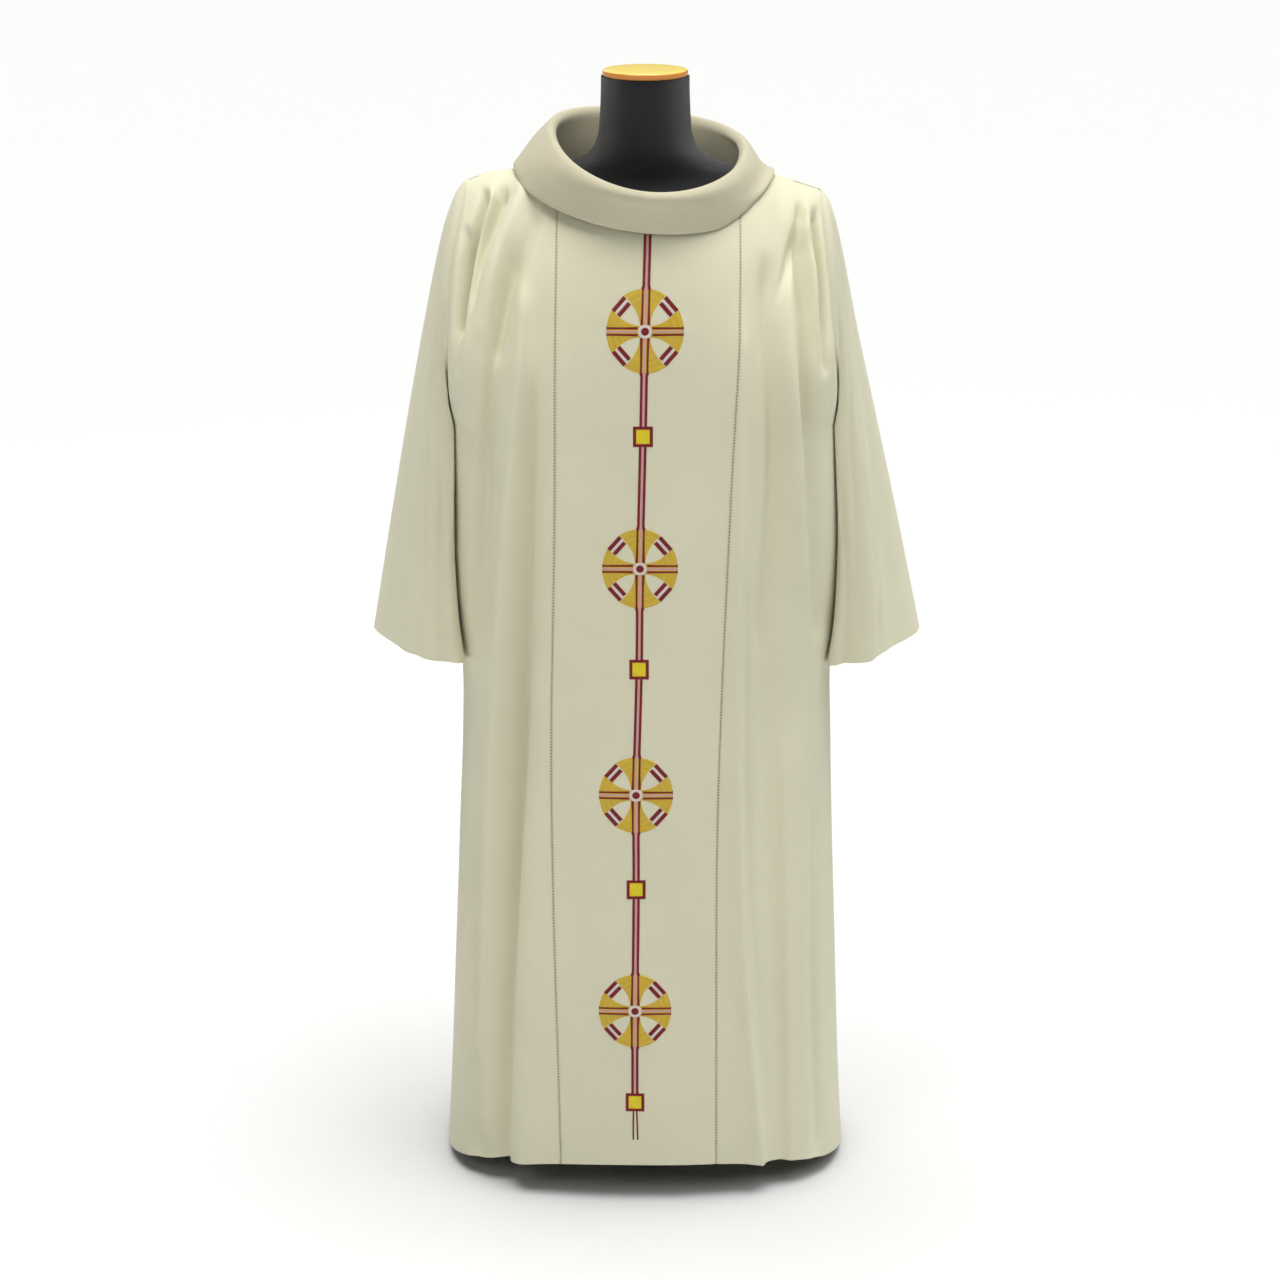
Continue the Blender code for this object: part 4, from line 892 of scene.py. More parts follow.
class Builder:
    """Gathers grids of points into one mesh, with one UV map in metres."""

    def __init__(self, name):
        self.name, self.points, self.faces, self.uvs, self.count = name, [], [], [], 0

    def add(self, points, faces, uvs):
        self.points.append(points.reshape(-1, 3))
        self.faces.append(faces + self.count)
        self.uvs.append(uvs)
        self.count += len(self.points[-1])

    def shell(self, outer, inner, uv, around=False):
        """A closed wall between two grids: both skins and the strips that join their borders."""
        index, uv_index = grid_index(*outer.shape[:2], around)
        far, flat_uv = outer[..., 0].size, uv.reshape(-1, 2)
        skin, uv_skin = corners(index), corners(uv_index)
        faces, uvs = [skin, skin[:, ::-1] + far], [uv_skin, uv_skin[:, ::-1]]
        borders = [(index[0], uv_index[0], 1), (index[-1], uv_index[-1], -1)]
        if not around:
            borders += [(index[:, 0], uv_index[:, 0], -1), (index[:, -1], uv_index[:, -1], 1)]
        for line, uv_line, order in borders:
            strip = np.stack([line[:-1] + far, line[1:] + far, line[1:], line[:-1]], -1)
            uv_strip = np.stack([uv_line[:-1], uv_line[1:], uv_line[1:], uv_line[:-1]], -1)
            faces.append(strip[:, ::order])
            uvs.append(uv_strip[:, ::order])
        self.add(np.stack([outer, inner]), np.concatenate(faces), flat_uv[np.concatenate(uvs)])

    def make(self, material):
        points, faces = np.concatenate(self.points), np.concatenate(self.faces)
        mesh = bpy.data.meshes.new(self.name)
        mesh.vertices.add(len(points))
        mesh.vertices.foreach_set("co", points.astype(np.float32).ravel())
        mesh.loops.add(faces.size)
        mesh.loops.foreach_set("vertex_index", faces.astype(np.int32).ravel())
        mesh.polygons.add(len(faces))
        starts = np.arange(0, faces.size, faces.shape[1], dtype=np.int32)
        mesh.polygons.foreach_set("loop_start", starts)
        mesh.update(calc_edges=True)
        mesh.uv_layers.new(name=UV_NAME)
        uvs = np.concatenate(self.uvs).astype(np.float32)
        mesh.uv_layers[UV_NAME].uv.foreach_set("vector", uvs.ravel())
        mesh.validate()
        mesh.materials.append(material)
        mesh.shade_smooth()
        mesh.set_sharp_from_angle(angle=np.radians(SHARP_DEGREES))
        made = bpy.data.objects.new(self.name, mesh)
        bpy.context.scene.collection.objects.link(made)
        return made

    def seat(self, material, slot, *nodes):
        """Makes the piece, which rides on the part, takes this material and stands for these
        solids. The slot is not used."""
        made = self.make(material)
        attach(made, "root")
        if nodes:
            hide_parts(*nodes)


# ---- Materials ---------------------------------------------------------------------------


def put(socket, value):
    """Links a socket to another one, or sets its value."""
    if isinstance(value, bpy.types.NodeSocket):
        socket.id_data.links.new(value, socket)
    else:
        socket.default_value = value


def shade(colour, factor=1.0):
    """The colour times a factor, with its alpha."""
    return tuple(min(1.0, part * factor) for part in colour[:3]) + (1.0,)


class Tree:
    """Short names for making a material's nodes."""

    def __init__(self, name):
        self.material = bpy.data.materials.new(name)
        self.material.use_nodes = True
        self.nodes = self.material.node_tree.nodes

    def add(self, kind, inputs=(), **settings):
        """A node with these settings and inputs."""
        made = self.nodes.new(kind)
        for key, value in settings.items():
            setattr(made, key, value)
        for key, value in dict(inputs).items():
            put(made.inputs[key], value)
        return made

    def place(self):
        return self.add("ShaderNodeTexCoord").outputs["Object"]

    def uv(self):
        return self.add("ShaderNodeUVMap", uv_map=UV_NAME).outputs[0]

    def split(self, vector):
        return self.add("ShaderNodeSeparateXYZ", {0: vector}).outputs

    def calc(self, operation, *values):
        return self.add("ShaderNodeMath", enumerate(values), operation=operation).outputs[0]

    def waves(self, value, pitch):
        """A sine wave of this pitch."""
        return self.calc("SINE", self.calc("MULTIPLY_ADD", value, 2 * np.pi / pitch, 0.0))

    def noise(self, vector, scale, detail=2.0, roughness=0.5):
        """Noise of one scale, or drawn out by a scale for each axis."""
        if isinstance(scale, tuple):
            mapping = self.add("ShaderNodeMapping", {"Vector": vector, "Scale": scale})
            vector, scale = mapping.outputs[0], 1.0
        inputs = {"Vector": vector, "Scale": scale, "Detail": detail, "Roughness": roughness}
        return self.add("ShaderNodeTexNoise", inputs).outputs["Fac"]

    def ranged(self, value, low, high, out_low, out_high):
        inputs = enumerate((value, low, high, out_low, out_high))
        return self.add("ShaderNodeMapRange", inputs).outputs[0]

    def mix(self, share, first, second, blend="MIX"):
        inputs = {0: share, 6: first, 7: second}
        made = self.add("ShaderNodeMix", inputs, data_type="RGBA", blend_type=blend)
        return made.outputs[2]

    def tint(self, value, low, high, first, second, at_low=0.0, at_high=1.0):
        """The first colour with a share of the second, which goes from at_low to at_high as the
        value goes from low to high."""
        return self.mix(self.ranged(value, low, high, at_low, at_high), first, second)

    def relief(self, *layers):
        """Bumps one on another, each a height, its distance in metres and its strength."""
        normal = None
        for height, distance, strength in layers:
            inputs = {"Height": height, "Distance": distance, "Strength": strength}
            if normal is not None:
                inputs["Normal"] = normal
            normal = self.add("ShaderNodeBump", inputs).outputs[0]
        return normal

    def finish(self, **sockets):
        """Sets or links the shader's sockets, named with _ for a space."""
        for key, value in sockets.items():
            put(self.nodes["Principled BSDF"].inputs[key.replace("_", " ")], value)
        return self.material


def cloth_material(cloth, name, colour):
    """Plain weave: rounded cells where two sine waves of the thread pitch cross, slubs drawn out
    along both threads, a fine fuzz, and a slow drift of the tone. The grooves between the cells are
    darker: partly the thinner cloth, partly painted shade."""
    made = Tree(name)
    uv, place = made.uv(), made.place()
    u, v, _ = made.split(uv)
    period = 2 * cloth.thread_pitch
    crossing = made.calc("MULTIPLY", made.waves(u, period), made.waves(v, period))
    cells = made.calc("ABSOLUTE", crossing)
    weft = made.noise(uv, (60.0, 1400.0, 1.0), 3.0, 0.6)
    warp = made.noise(uv, (1400.0, 60.0, 1.0), 3.0, 0.6)
    slubs = made.calc("MULTIPLY", made.calc("ADD", weft, warp), 0.5)
    fuzz = made.noise(place, 1600.0, 3.0, 0.7)
    drift = made.noise(place, 5.0, 3.0, 0.55)
    tone = made.tint(drift, 0.35, 0.65, shade(colour, 0.975), shade(colour, 1.015))
    thin = made.mix(1.0, tone, (0.955, 0.955, 0.94, 1), "MULTIPLY")
    tone = made.tint(slubs, 0.38, 0.62, thin, tone)
    # Darker along the grooves between the cells: partly the thinner cloth, partly painted shade.
    tone = made.tint(cells, 0.0, 0.5, tone, shade(colour, 0.86), 0.55, 0.0)
    return made.finish(
        Base_Color=tone, Roughness=made.ranged(slubs, 0.3, 0.7, 0.86, 0.76),
        Normal=made.relief((cells, 0.00022, 0.55), (slubs, 0.00035, 0.35), (fuzz, 0.00015, 0.25)),
        Sheen_Weight=0.18, Sheen_Roughness=0.45, Specular_IOR_Level=0.28)


def thread_material(name, colour, rough, pitch):
    """Satin stitches: fine strands along the thread's own direction, which is the UV map's v, with
    a tone of their own for each thread and a soft gloss."""
    made = Tree(name)
    uv, place = made.uv(), made.place()
    u, v, _ = made.split(uv)
    twist = made.waves(made.calc("MULTIPLY_ADD", v, 0.35, u), pitch / 2)
    threads = made.noise(uv, (1.0 / pitch, 22.0, 1.0))
    drift = made.noise(place, 70.0)
    tone = made.tint(threads, 0.32, 0.68, shade(colour, 0.74), shade(colour, 1.16))
    tone = made.tint(drift, 0.3, 0.7, tone, shade(colour, 0.9), 0.0, 0.5)
    return made.finish(
        Base_Color=tone, Roughness=made.ranged(threads, 0.3, 0.7, rough + 0.08, rough - 0.06),
        Normal=made.relief((twist, 0.00012, 0.5), (threads, 0.00030, 0.5)),
        Specular_IOR_Level=0.3, Sheen_Weight=0.03)


def jersey_material(form):
    """Fine knit: ribs up the form, each a column of small slanted loops, darker between the loops: partly
    the open knit, partly painted shade.
    """
    made, colour = Tree("black_jersey"), form.jersey_colour
    uv, place = made.uv(), made.place()
    u, v, _ = made.split(uv)
    ribs = made.waves(u, form.knit_pitch)
    slant = made.calc("MULTIPLY", made.calc("ABSOLUTE", ribs), form.knit_pitch * 0.5)
    loops = made.waves(made.calc("ADD", v, slant), form.knit_pitch * 0.8)
    fuzz = made.noise(place, 1300.0, 3.0, 0.7)
    lint = made.noise(place, 90.0, 4.0, 0.7)
    # Darker between the loops: partly the open knit, partly painted shade.
    tone = made.tint(loops, -1.0, 1.0, shade(colour), shade(colour, 0.55), 0.5, 0.0)
    tone = made.tint(lint, 0.62, 0.80, tone, shade(colour, 2.0), 0.0, 0.5)
    stitches = made.calc("MULTIPLY_ADD", ribs, 0.7, loops)
    return made.finish(
        Base_Color=tone, Roughness=0.86, Sheen_Weight=0.35, Sheen_Roughness=0.4,
        Normal=made.relief((stitches, 0.0003, 0.6), (fuzz, 0.0002, 0.3)))


def wood_material(form):
    """Varnished wood: growth rings round an axis well beside the cap, drawn out along the grain,
    with fine pores. The turned edge, lower than the top, is darker and redder: painted shade."""
    made, colour = Tree("varnished_wood"), form.wood_colour
    place = made.place()
    _, y, z = made.split(place)
    bent = made.noise(place, (6.0, 22.0, 22.0), 3.0)
    growth = made.calc("MULTIPLY_ADD", bent, 0.012, made.calc("MULTIPLY_ADD", z, 0.8, y))
    bands = made.waves(growth, 0.0105)
    fine = made.noise(place, (40.0, 900.0, 900.0), 4.0, 0.65)
    pores = made.noise(place, (120.0, 2600.0, 2600.0), 2.0, 0.6)
    tone = made.tint(bands, -1.0, 1.0, shade(colour, 0.86), shade(colour, 1.06))
    tone = made.tint(fine, 0.35, 0.65, tone, shade(colour, 0.82), 0.0, 0.6)
    tone = made.tint(pores, 0.58, 0.72, tone, shade(colour, 0.5), 0.0, 0.5)
    # The turned edge below the top is painted darker and redder: painted shade.
    shaded_edge = made.mix(0.9, tone, shade(form.wood_edge_colour))
    tone = made.tint(z, EDGE_SHADE_TOP_Z, EDGE_SHADE_Z, tone, shaded_edge)
    return made.finish(
        Base_Color=tone, Roughness=made.ranged(fine, 0.3, 0.7, 0.30, 0.42),
        Normal=made.relief((fine, 0.0001, 0.25), (pores, 0.00015, 0.2)),
        Coat_Weight=0.25, Coat_Roughness=0.15)


def steel_material(form):
    """Satin stoving paint on steel: an even grey with a fine orange peel and faint scuffs."""
    made, colour = Tree("grey_steel"), form.steel_colour
    place = made.place()
    peel = made.noise(place, 420.0, 3.0)
    scuffs = made.noise(place, (90.0, 90.0, 14.0), 5.0, 0.7)
    tone = made.tint(scuffs, 0.58, 0.75, shade(colour), shade(colour, 1.5), 0.0, 0.6)
    return made.finish(
        Base_Color=tone, Roughness=made.ranged(scuffs, 0.4, 0.7, 0.42, 0.55), Metallic=0.3,
        Normal=made.relief((peel, 0.00012, 0.3)))


def floor_material(stage):
    """A matt floor, all but even in tone."""
    made, colour = Tree("pale_floor"), stage.floor_colour
    speck = made.noise(made.place(), 30.0, 4.0)
    tone = made.tint(speck, 0.3, 0.7, shade(colour, 0.99), shade(colour))
    return made.finish(Base_Color=tone, Roughness=0.9, Specular_IOR_Level=0.1)


# ---- The pieces of cloth -----------------------------------------------------------------

# A panel between two columns of the body, with its steps across and the size it was cut to.
Cut = namedtuple("Cut", "piece node side first last across flat area")
SEAM_RIGHT, SEAM_LEFT = COLUMN_AT[2], COLUMN_AT[3]
CUTS = (
    Cut("cloth_front_centre", "front_center_panel", "front", SEAM_RIGHT, SEAM_LEFT, 84,
        (0.28, 1.38), 0.315),
    Cut("cloth_front_side_right", "front_side_panel_right", "front", 0, SEAM_RIGHT, 92,
        (0.29, 1.43), 0.330),
    Cut("cloth_front_side_left", "front_side_panel_left", "front", SEAM_LEFT, COLUMNS, 92,
        (0.31, 1.43), 0.345),
    Cut("cloth_back", "back_panel", "back", 0, COLUMNS, 140, (0.81, 1.44), 0.950),
)
SKIRT_ROWS, YOKE_ROWS = 130, 76
SLEEVE_ROWS, SLEEVE_ACROSS, SLEEVE_CROWDING = 96, 64, 1.12
COLLAR_ROWS, COLLAR_AROUND = 40, 150
ARMHOLE_FADE = 0.25
TOP_ROLL = 0.4  # of the seams' roll, along the top edge
FOLDED_SHARE, FOLD_REACH = 0.9, 0.6  # a hem's second layer, and how far its fold is rounded
EDGE_SHARE, EDGE_REACH = 0.7, 0.7  # the same at the collar's free edge
HEM_PRINT, HEM_PRINT_WIDTH = 0.00025, 0.0016  # the groove where the hem's upper edge shows


def cloth_rows():
    """v of each row: even in the skirt, even in v over the yoke, where the surface crowds them."""
    skirt = np.linspace(0, 1, SKIRT_ROWS + 1)
    return np.concatenate([skirt, np.linspace(1, 2, YOKE_ROWS + 1)[1:]])


def hem_wall(distance, cloth):
    """Thickness of the cloth at a distance from a hem: doubled over the turned-up part, one cloth
    beyond it, and thinner at the very fold, which is round."""
    doubled = step((cloth.hem_depth - distance) / cloth.thickness)
    at_fold = bell(distance, FOLD_REACH * cloth.thickness)
    return cloth.thickness * (1 + FOLDED_SHARE * doubled - FOLDED_SHARE * at_fold)


def armhole_dip(distance, rise, cloth):
    """How far the cloth sinks near an armhole: a bell of the distance from it, faded towards the
    underarm and the shoulder."""
    most = cloth.armhole_dip * step(rise / ARMHOLE_FADE) * step((1 - rise) / ARMHOLE_FADE)
    return most * bell(distance, cloth.armhole_width)


def cloth_of(cloth, doubled=False):
    """The cloth's material, or the collar's, which is the same cloth in a darker colour: painted shade.
    """
    name = "doubled_cloth" if doubled else "cream_cloth"
    colour = cloth.collar_colour if doubled else cloth.colour
    return bpy.data.materials.get(name) or cloth_material(cloth, name, colour)


def cut_piece(cut, cloth):
    """A panel: the body's surface between two columns. Its seam edges roll inwards by the seam's
    roll, a bell of the distance from the edge, and the hem is turned up inside."""
    columns = np.linspace(cut.first, cut.last, cut.across + 1)
    column, v = np.meshgrid(columns, cloth_rows())
    outer = body(cut.side, column, v)
    if cut.side == "back":
        outer = outer[:, ::-1]
    across, along, out = lengths_along(outer, 1), lengths_along(outer, 0), grid_normals(outer)
    from_end, below_top = across[:, -1:] - across, along[-1:] - along
    roll = cloth.seam_roll * (bell(np.minimum(across, from_end), cloth.seam_width)
                              + TOP_ROLL * bell(below_top, cloth.seam_width))
    from_side = np.minimum(across if cut.first == 0 else np.inf,
                           from_end if cut.last == COLUMNS else np.inf)
    roll += armhole_dip(from_side, v - 1, cloth)
    roll += HEM_PRINT * bell(along - cloth.hem_depth, HEM_PRINT_WIDTH)
    outer = outer - out * roll[..., None]
    inwards = unit(outer[:, 1] - outer[:, 0]), unit(outer[:, -2] - outer[:, -1])
    outer[:, 0] += cloth.seam_gap / 2 * inwards[0]
    outer[:, -1] += cloth.seam_gap / 2 * inwards[1]
    middle = across[:, across.shape[1] // 2][:, None]
    made = Builder(cut.piece)
    made.shell(outer, outer - out * hem_wall(along, cloth)[..., None],
               np.stack([across - middle, along], axis=-1))
    made.seat(cloth_of(cloth), "cloth", cut.node)


def armhole_normal(name, side, w):
    """The body's outward normal along its armhole edge, front or back."""
    out = normal_of(lambda column, v: body_base(side, column, v),
                    ARMHOLE_COLUMN[name], 1 + w, COLUMNS)
    outward = np.array([SIGN[name], SIGN[side], 0])
    return out * np.where(out @ outward < 0, -1, 1)[..., None]


def both_halves(name, half):
    """A sleeve's front and back halves as one grid that closes round, in the order that faces
    outwards. The half is a function of the side."""
    whole = np.concatenate([half("front"), half("back")[:, -2:0:-1]], axis=1)
    return whole[:, ::-1] if name == "right" else whole


def sleeve_piece(name, cloth):
    """A sleeve: both halves of its surface as one tube, from the armhole, where its edge sinks
    with the body's edge, to the cuff, where it is turned up inside."""
    shares = np.linspace(0, 1, SLEEVE_ROWS + 1) ** SLEEVE_CROWDING
    share, w = np.meshgrid(shares, np.linspace(0, 1, SLEEVE_ACROSS + 1), indexing="ij")
    outer = both_halves(name, lambda side: sleeve(name, side, share, w))
    rise = both_halves(name, lambda side: w)
    sinking = both_halves(name, lambda side: armhole_normal(name, side, w))
    out, along, uv = -grid_normals(outer, around=True), lengths_along(outer, 0), uv_round(outer)
    roll = cloth.seam_roll * bell(along, cloth.seam_width) + armhole_dip(along, rise, cloth)
    outer = outer - sinking * roll[..., None]
    inner = outer - out * hem_wall(along[-1:] - along, cloth)[..., None]
    made = Builder("cloth_sleeve_" + name)
    made.shell(outer[:, ::-1], inner[:, ::-1], uv, around=True)
    made.seat(cloth_of(cloth), "cloth", "sleeve_" + name)


def collar_piece(cloth):
    """The collar: a band of doubled cloth along its line, thin at the free edge's fold."""
    turn, share = np.meshgrid(turns(COLLAR_AROUND), np.linspace(0, 1, COLLAR_ROWS + 1))
    line = collar_line(turn, share)
    along = lengths_along(line, 0)
    fold = EDGE_SHARE * bell(along[-1:] - along, EDGE_REACH * cloth.collar_thickness)
    out = grid_normals(line, around=True) * (cloth.collar_thickness / 2 * (1 - fold))[..., None]
    made = Builder("cloth_collar")
    made.shell(line + out, line - out, uv_round(line), around=True)
    # The collar takes the darker copy of the cloth: painted shade.
    made.seat(cloth_of(cloth, doubled=True), "cloth", "collar")


# ---- Stitches and embroidery -------------------------------------------------------------

FRONT_LOW, FRONT_HIGH = Place(-0.070, 0.060), Place(0.070, 1.350)
FRONT_CELL = 0.002


@lru_cache
def front_table():
    """The front's points and normals on an even grid of x and z. The normals are the cross
    product of the grid's steps."""
    x = np.arange(FRONT_LOW.x, FRONT_HIGH.x, FRONT_CELL)
    z = np.arange(FRONT_LOW.z, FRONT_HIGH.z, FRONT_CELL)
    points = body("front", *place_of(*np.meshgrid(x, z)))
    return np.concatenate([points, grid_normals(points)], axis=-1)


def on_front(x, z):
    """Points and normals of the front's cloth at places x and z: the grid's, blended between the
    four nearest in proportion to the distances."""
    table = front_table()
    across, up = (x - FRONT_LOW.x) / FRONT_CELL, (z - FRONT_LOW.z) / FRONT_CELL
    i, j = np.floor(up).astype(int), np.floor(across).astype(int)
    s, t = (up - i)[..., None], (across - j)[..., None]
    below = (1 - t) * table[i, j] + t * table[i, j + 1]
    above = (1 - t) * table[i + 1, j] + t * table[i + 1, j + 1]
    return np.split((1 - s) * below + s * above, 2, axis=-1)


def satin(run, over, pitch):
    """Height of satin stitches, as a share of the most: a ridge for each thread along the run,
    rounded off at both ends of the thread, where over goes from -1 to 1."""
    ridge = 0.5 + 0.5 * np.cos(2 * np.pi * run / pitch)
    return np.sqrt(np.clip(END_ROUND - over**2, 0, 1)) * (1 - RIDGE_SHARE + RIDGE_SHARE * ridge)


def stem_x(z):
    """x of the stem at each height: a smooth line through the roundels and squares."""
    marks = sorted((STEM_TOP, STEM_END) + ROUNDELS + SQUARES, key=lambda mark: mark.z)
    return through([mark.z for mark in marks], [mark.x for mark in marks], z)


def stem_scale(z):
    """Width of the stem at each height, 1 inside a roundel: it falls evenly just outside."""
    away = np.min([np.abs(z - mark.z) for mark in ROUNDELS], axis=0) - ROUNDEL_HALF.z
    return 1 - (1 - STEM_THIN) * np.clip(away / STEM_EASE, 0, 1)


def stem_spans():
    """Lowest and highest z of each length of the stem, between the squares and the roundels'
    rings, up to the neckline."""
    marks = sorted([(mark.z, SQUARE_HALF.z) for mark in SQUARES]
                   + [(mark.z, RING_RADIUS - RING_OVERLAP) for mark in ROUNDELS]
                   + [(STEM_TOP.z, 0.0)])
    return [(low + clear_low, high - clear_high)
            for (low, clear_low), (high, clear_high) in zip(marks, marks[1:])]


class Embroidery(Builder):
    """A mesh of closed patches of satin stitches on the front. A lift raises a patch by a share
    of the stitches' height."""

    def __init__(self, name, height):
        super().__init__(name)
        self.height = height

    def patch(self, x, z, share, uv):
        """A patch whose top follows the cloth, at a share of the stitches' height, and whose
        underside lies just inside the cloth."""
        cloth, out = on_front(x, z)
        top, under = cloth + out * (self.height * share)[..., None], cloth - out * SINK
        along, across = top[1:, :-1] - top[:-1, :-1], top[:-1, 1:] - top[:-1, :-1]
        if np.cross(across, along)[..., 1].mean() > 0:
            top, under, uv = top[:, ::-1], under[:, ::-1], uv[:, ::-1]
        self.shell(top, under, uv)

    def arm(self, centre, arm):
        """One flared arm of a roundel. Its half width grows with the square of the way out, and
        its end lies on the roundel's edge. The threads lie across it."""
        length = ROUNDEL_HALF.z * (1 - ARM_ROOT)
        run = np.linspace(0, 1, int(STRIP_FINE * length / THREAD_PITCH) + 1)
        s, t = np.meshgrid(run, np.linspace(-1, 1, ARM_ACROSS), indexing="ij")
        spread, turn = np.radians(arm.half_degrees), np.radians(arm.turn)
        up = ARM_ROOT + s * (np.cos(spread * t) - ARM_ROOT)
        flare = ARM_ROOT + (np.sin(spread) - ARM_ROOT) * s**2
        across = np.sin(spread * t) / np.sin(spread) * flare
        x = centre.x + ROUNDEL_HALF.x * (across * np.cos(turn) + up * np.sin(turn))
        z = centre.z + ROUNDEL_HALF.z * (up * np.cos(turn) - across * np.sin(turn))
        end = 1 - ARM_END * bell(1 - s, ARM_END_WIDTH)
        uv = np.stack([s * length, across * ROUNDEL_HALF.x], axis=-1)
        self.patch(x, z, satin(s * length, t, THREAD_PITCH) * end, uv)

    def strip(self, middle, along, half_length, half_width, lift=0.0):
        """A straight strip, whose threads lie across it: a middle point, a unit direction in x
        and z, and its half sizes."""
        count = max(4, int(STRIP_FINE * half_length * 2 / THREAD_PITCH))
        run, over = np.linspace(-1, 1, count + 1), np.linspace(-1, 1, STRIP_ACROSS)
        s, t = np.meshgrid(run, over, indexing="ij")
        x = middle[0] + along[0] * s * half_length - along[1] * t * half_width
        z = middle[1] + along[1] * s * half_length + along[0] * t * half_width
        ends = 1 - STRIP_END * bell(1 - np.abs(s), STRIP_END_WIDTH * half_width / half_length)
        uv = np.stack([s * half_length, t * half_width], axis=-1)
        self.patch(x, z, lift + satin(s * half_length, t, THREAD_PITCH) * ends, uv)

    def bar(self, centre, bar, degrees, lift=0.0):
        """A bar in a gap between two arms, square to the line from the centre."""
        turn, half = np.radians(degrees), ROUNDEL_HALF
        middle = (centre.x + half.x * bar.radius * np.cos(turn),
                  centre.z + half.z * bar.radius * np.sin(turn))
        along = unit(np.array([-half.x * np.sin(turn), half.z * np.cos(turn)]))
        scale = (half.x + half.z) / 2
        self.strip(middle, along, bar.half_length * scale, bar.half_width * scale, lift)

    def level_lines(self, centre, offsets, half_width, lift):
        """Level strips through a roundel, from its ring to its edge on both sides."""
        half = (ROUNDEL_HALF.x - RING_RADIUS) / 2
        for side in (-1, 1):
            for offset in offsets:
                middle = (centre.x + side * (RING_RADIUS + half), centre.z + offset)
                self.strip(middle, (1, 0), half, half_width, lift)

    def border(self, centre):
        """A square's border: four strips, whose corners overlap."""
        half = BORDER / 2
        for sign in (-1, 1):
            level = (centre.x, centre.z + sign * (SQUARE_HALF.z - half))
            upright = (centre.x + sign * (SQUARE_HALF.x - half), centre.z)
            self.strip(level, (1, 0), SQUARE_HALF.x, half, BORDER_LIFTS[0])
            self.strip(upright, (0, 1), SQUARE_HALF.z, half, BORDER_LIFTS[1])

    def ring(self, centre, low, high, lift):
        """A round patch or ring: rings of points between two radii, with the threads running
        outwards in a ring and across in a disc."""
        turn, share = np.meshgrid(np.linspace(0, 2 * np.pi, RING_AROUND + 1),
                                  np.linspace(0, 1, RING_ACROSS), indexing="ij")
        radius = low + (high - low) * share
        x, z = centre.x + radius * np.sin(turn), centre.z + radius * np.cos(turn)
        over = 2 * share - 1 if low > DOT_HOLE else share
        uv = np.stack([turn * high, radius], axis=-1)
        self.patch(x, z, lift + satin(turn * high, over, THREAD_PITCH), uv)

    def stem(self, span, offsets, half_width, lift):
        """A length of the stem: a strip along its line, set off to one side by the offsets at its
        low and high ends."""
        (low, high), (offset_low, offset_high) = span, offsets
        run = np.linspace(0, 1, int(STEM_FINE * (high - low) / STEM_PITCH) + 1)
        s, t = np.meshgrid(run, np.linspace(-1, 1, STRIP_ACROSS), indexing="ij")
        z = low + (high - low) * s
        across = offset_low + (offset_high - offset_low) * s + t * half_width
        share = lift + satin(z + STEM_SLANT * t * half_width, t, STEM_PITCH)
        uv = np.stack([z, t * half_width], axis=-1)
        self.patch(stem_x(z) + across * stem_scale(z), z, share, uv)


def sew_gold(made):
    """The roundels' arms."""
    for centre in ROUNDELS:
        for arm in ARMS:
            made.arm(centre, arm)


def sew_yellow(made):
    """The squares inside their borders."""
    for centre in SQUARES:
        made.strip(centre, (1, 0), SQUARE_HALF.x - BORDER, SQUARE_HALF.z - BORDER)


def sew_maroon(made):
    """The twin lines of the stem and the roundels, the bars, the dots and the borders."""
    offset = LINE_HALF_GAP + LINE_WIDTH / 2
    for span in stem_spans():
        for sign in (-1, 1):
            made.stem(span, (sign * offset, sign * offset), LINE_WIDTH / 2, LINE_LIFT)
    for sign in (-1, 1):
        tail = (STEM_END.z, SQUARES[-1].z - SQUARE_HALF.z)
        made.stem(tail, [sign * end for end in TAIL_OFFSETS], TAIL_HALF_WIDTH, 0.0)
    for centre in ROUNDELS:
        made.level_lines(centre, (-offset, offset), LINE_WIDTH / 2, LINE_LIFT)
        for degrees in GAP_DEGREES:
            for bar in BARS:
                made.bar(centre, bar, degrees, BAR_LIFT)
        made.ring(centre, DOT_HOLE, DOT_RADIUS, DOT_LIFT)
    for centre in SQUARES:
        made.border(centre)


def sew_mauve(made):
    """What shows between the twin lines."""
    for span in stem_spans():
        made.stem(span, (0.0, 0.0), LINE_HALF_GAP, MIDDLE_LIFT)
    for centre in ROUNDELS:
        made.level_lines(centre, (0.0,), LINE_HALF_GAP, MIDDLE_LIFT)


def sew_pale(made):
    """The threads between the bars, and the ring round each dot."""
    for centre in ROUNDELS:
        for degrees in GAP_DEGREES:
            made.bar(centre, PALE_BAR, degrees)
        made.ring(centre, DOT_RADIUS - RING_TUCK, RING_RADIUS, RING_LIFT)


# What is sewn in each colour, and how rough its thread is.
Thread = namedtuple("Thread", "colour sew rough")
THREADS = (
    Thread("gold", sew_gold, 0.40),
    Thread("yellow", sew_yellow, 0.40),
    Thread("maroon", sew_maroon, 0.42),
    Thread("mauve", sew_mauve, 0.42),
    Thread("pale", sew_pale, 0.42),
)


def seam_places(column, stitch):
    """The points, directions across and outward normals of a seam's bars, evenly spaced along
    the cloth from the hem to the neckline."""
    rows = cloth_rows()
    fine = np.interp(np.linspace(0, len(rows) - 1, SEAM_STEPS), np.arange(len(rows)), rows)

    def at(shift, v):
        return body("front", np.full_like(v, column + shift), v)

    along = lengths_along(at(0.0, fine), 0)
    count = int((along[-1] - 2 * SEAM_START) / stitch.pitch)
    v = np.interp(SEAM_START + stitch.pitch * np.arange(count), along, fine)
    place, across = at(0.0, v), unit(at(SEAM_NEAR, v) - at(-SEAM_NEAR, v))
    return place, across, unit(np.cross(across, at(0.0, v + NEAR) - place))


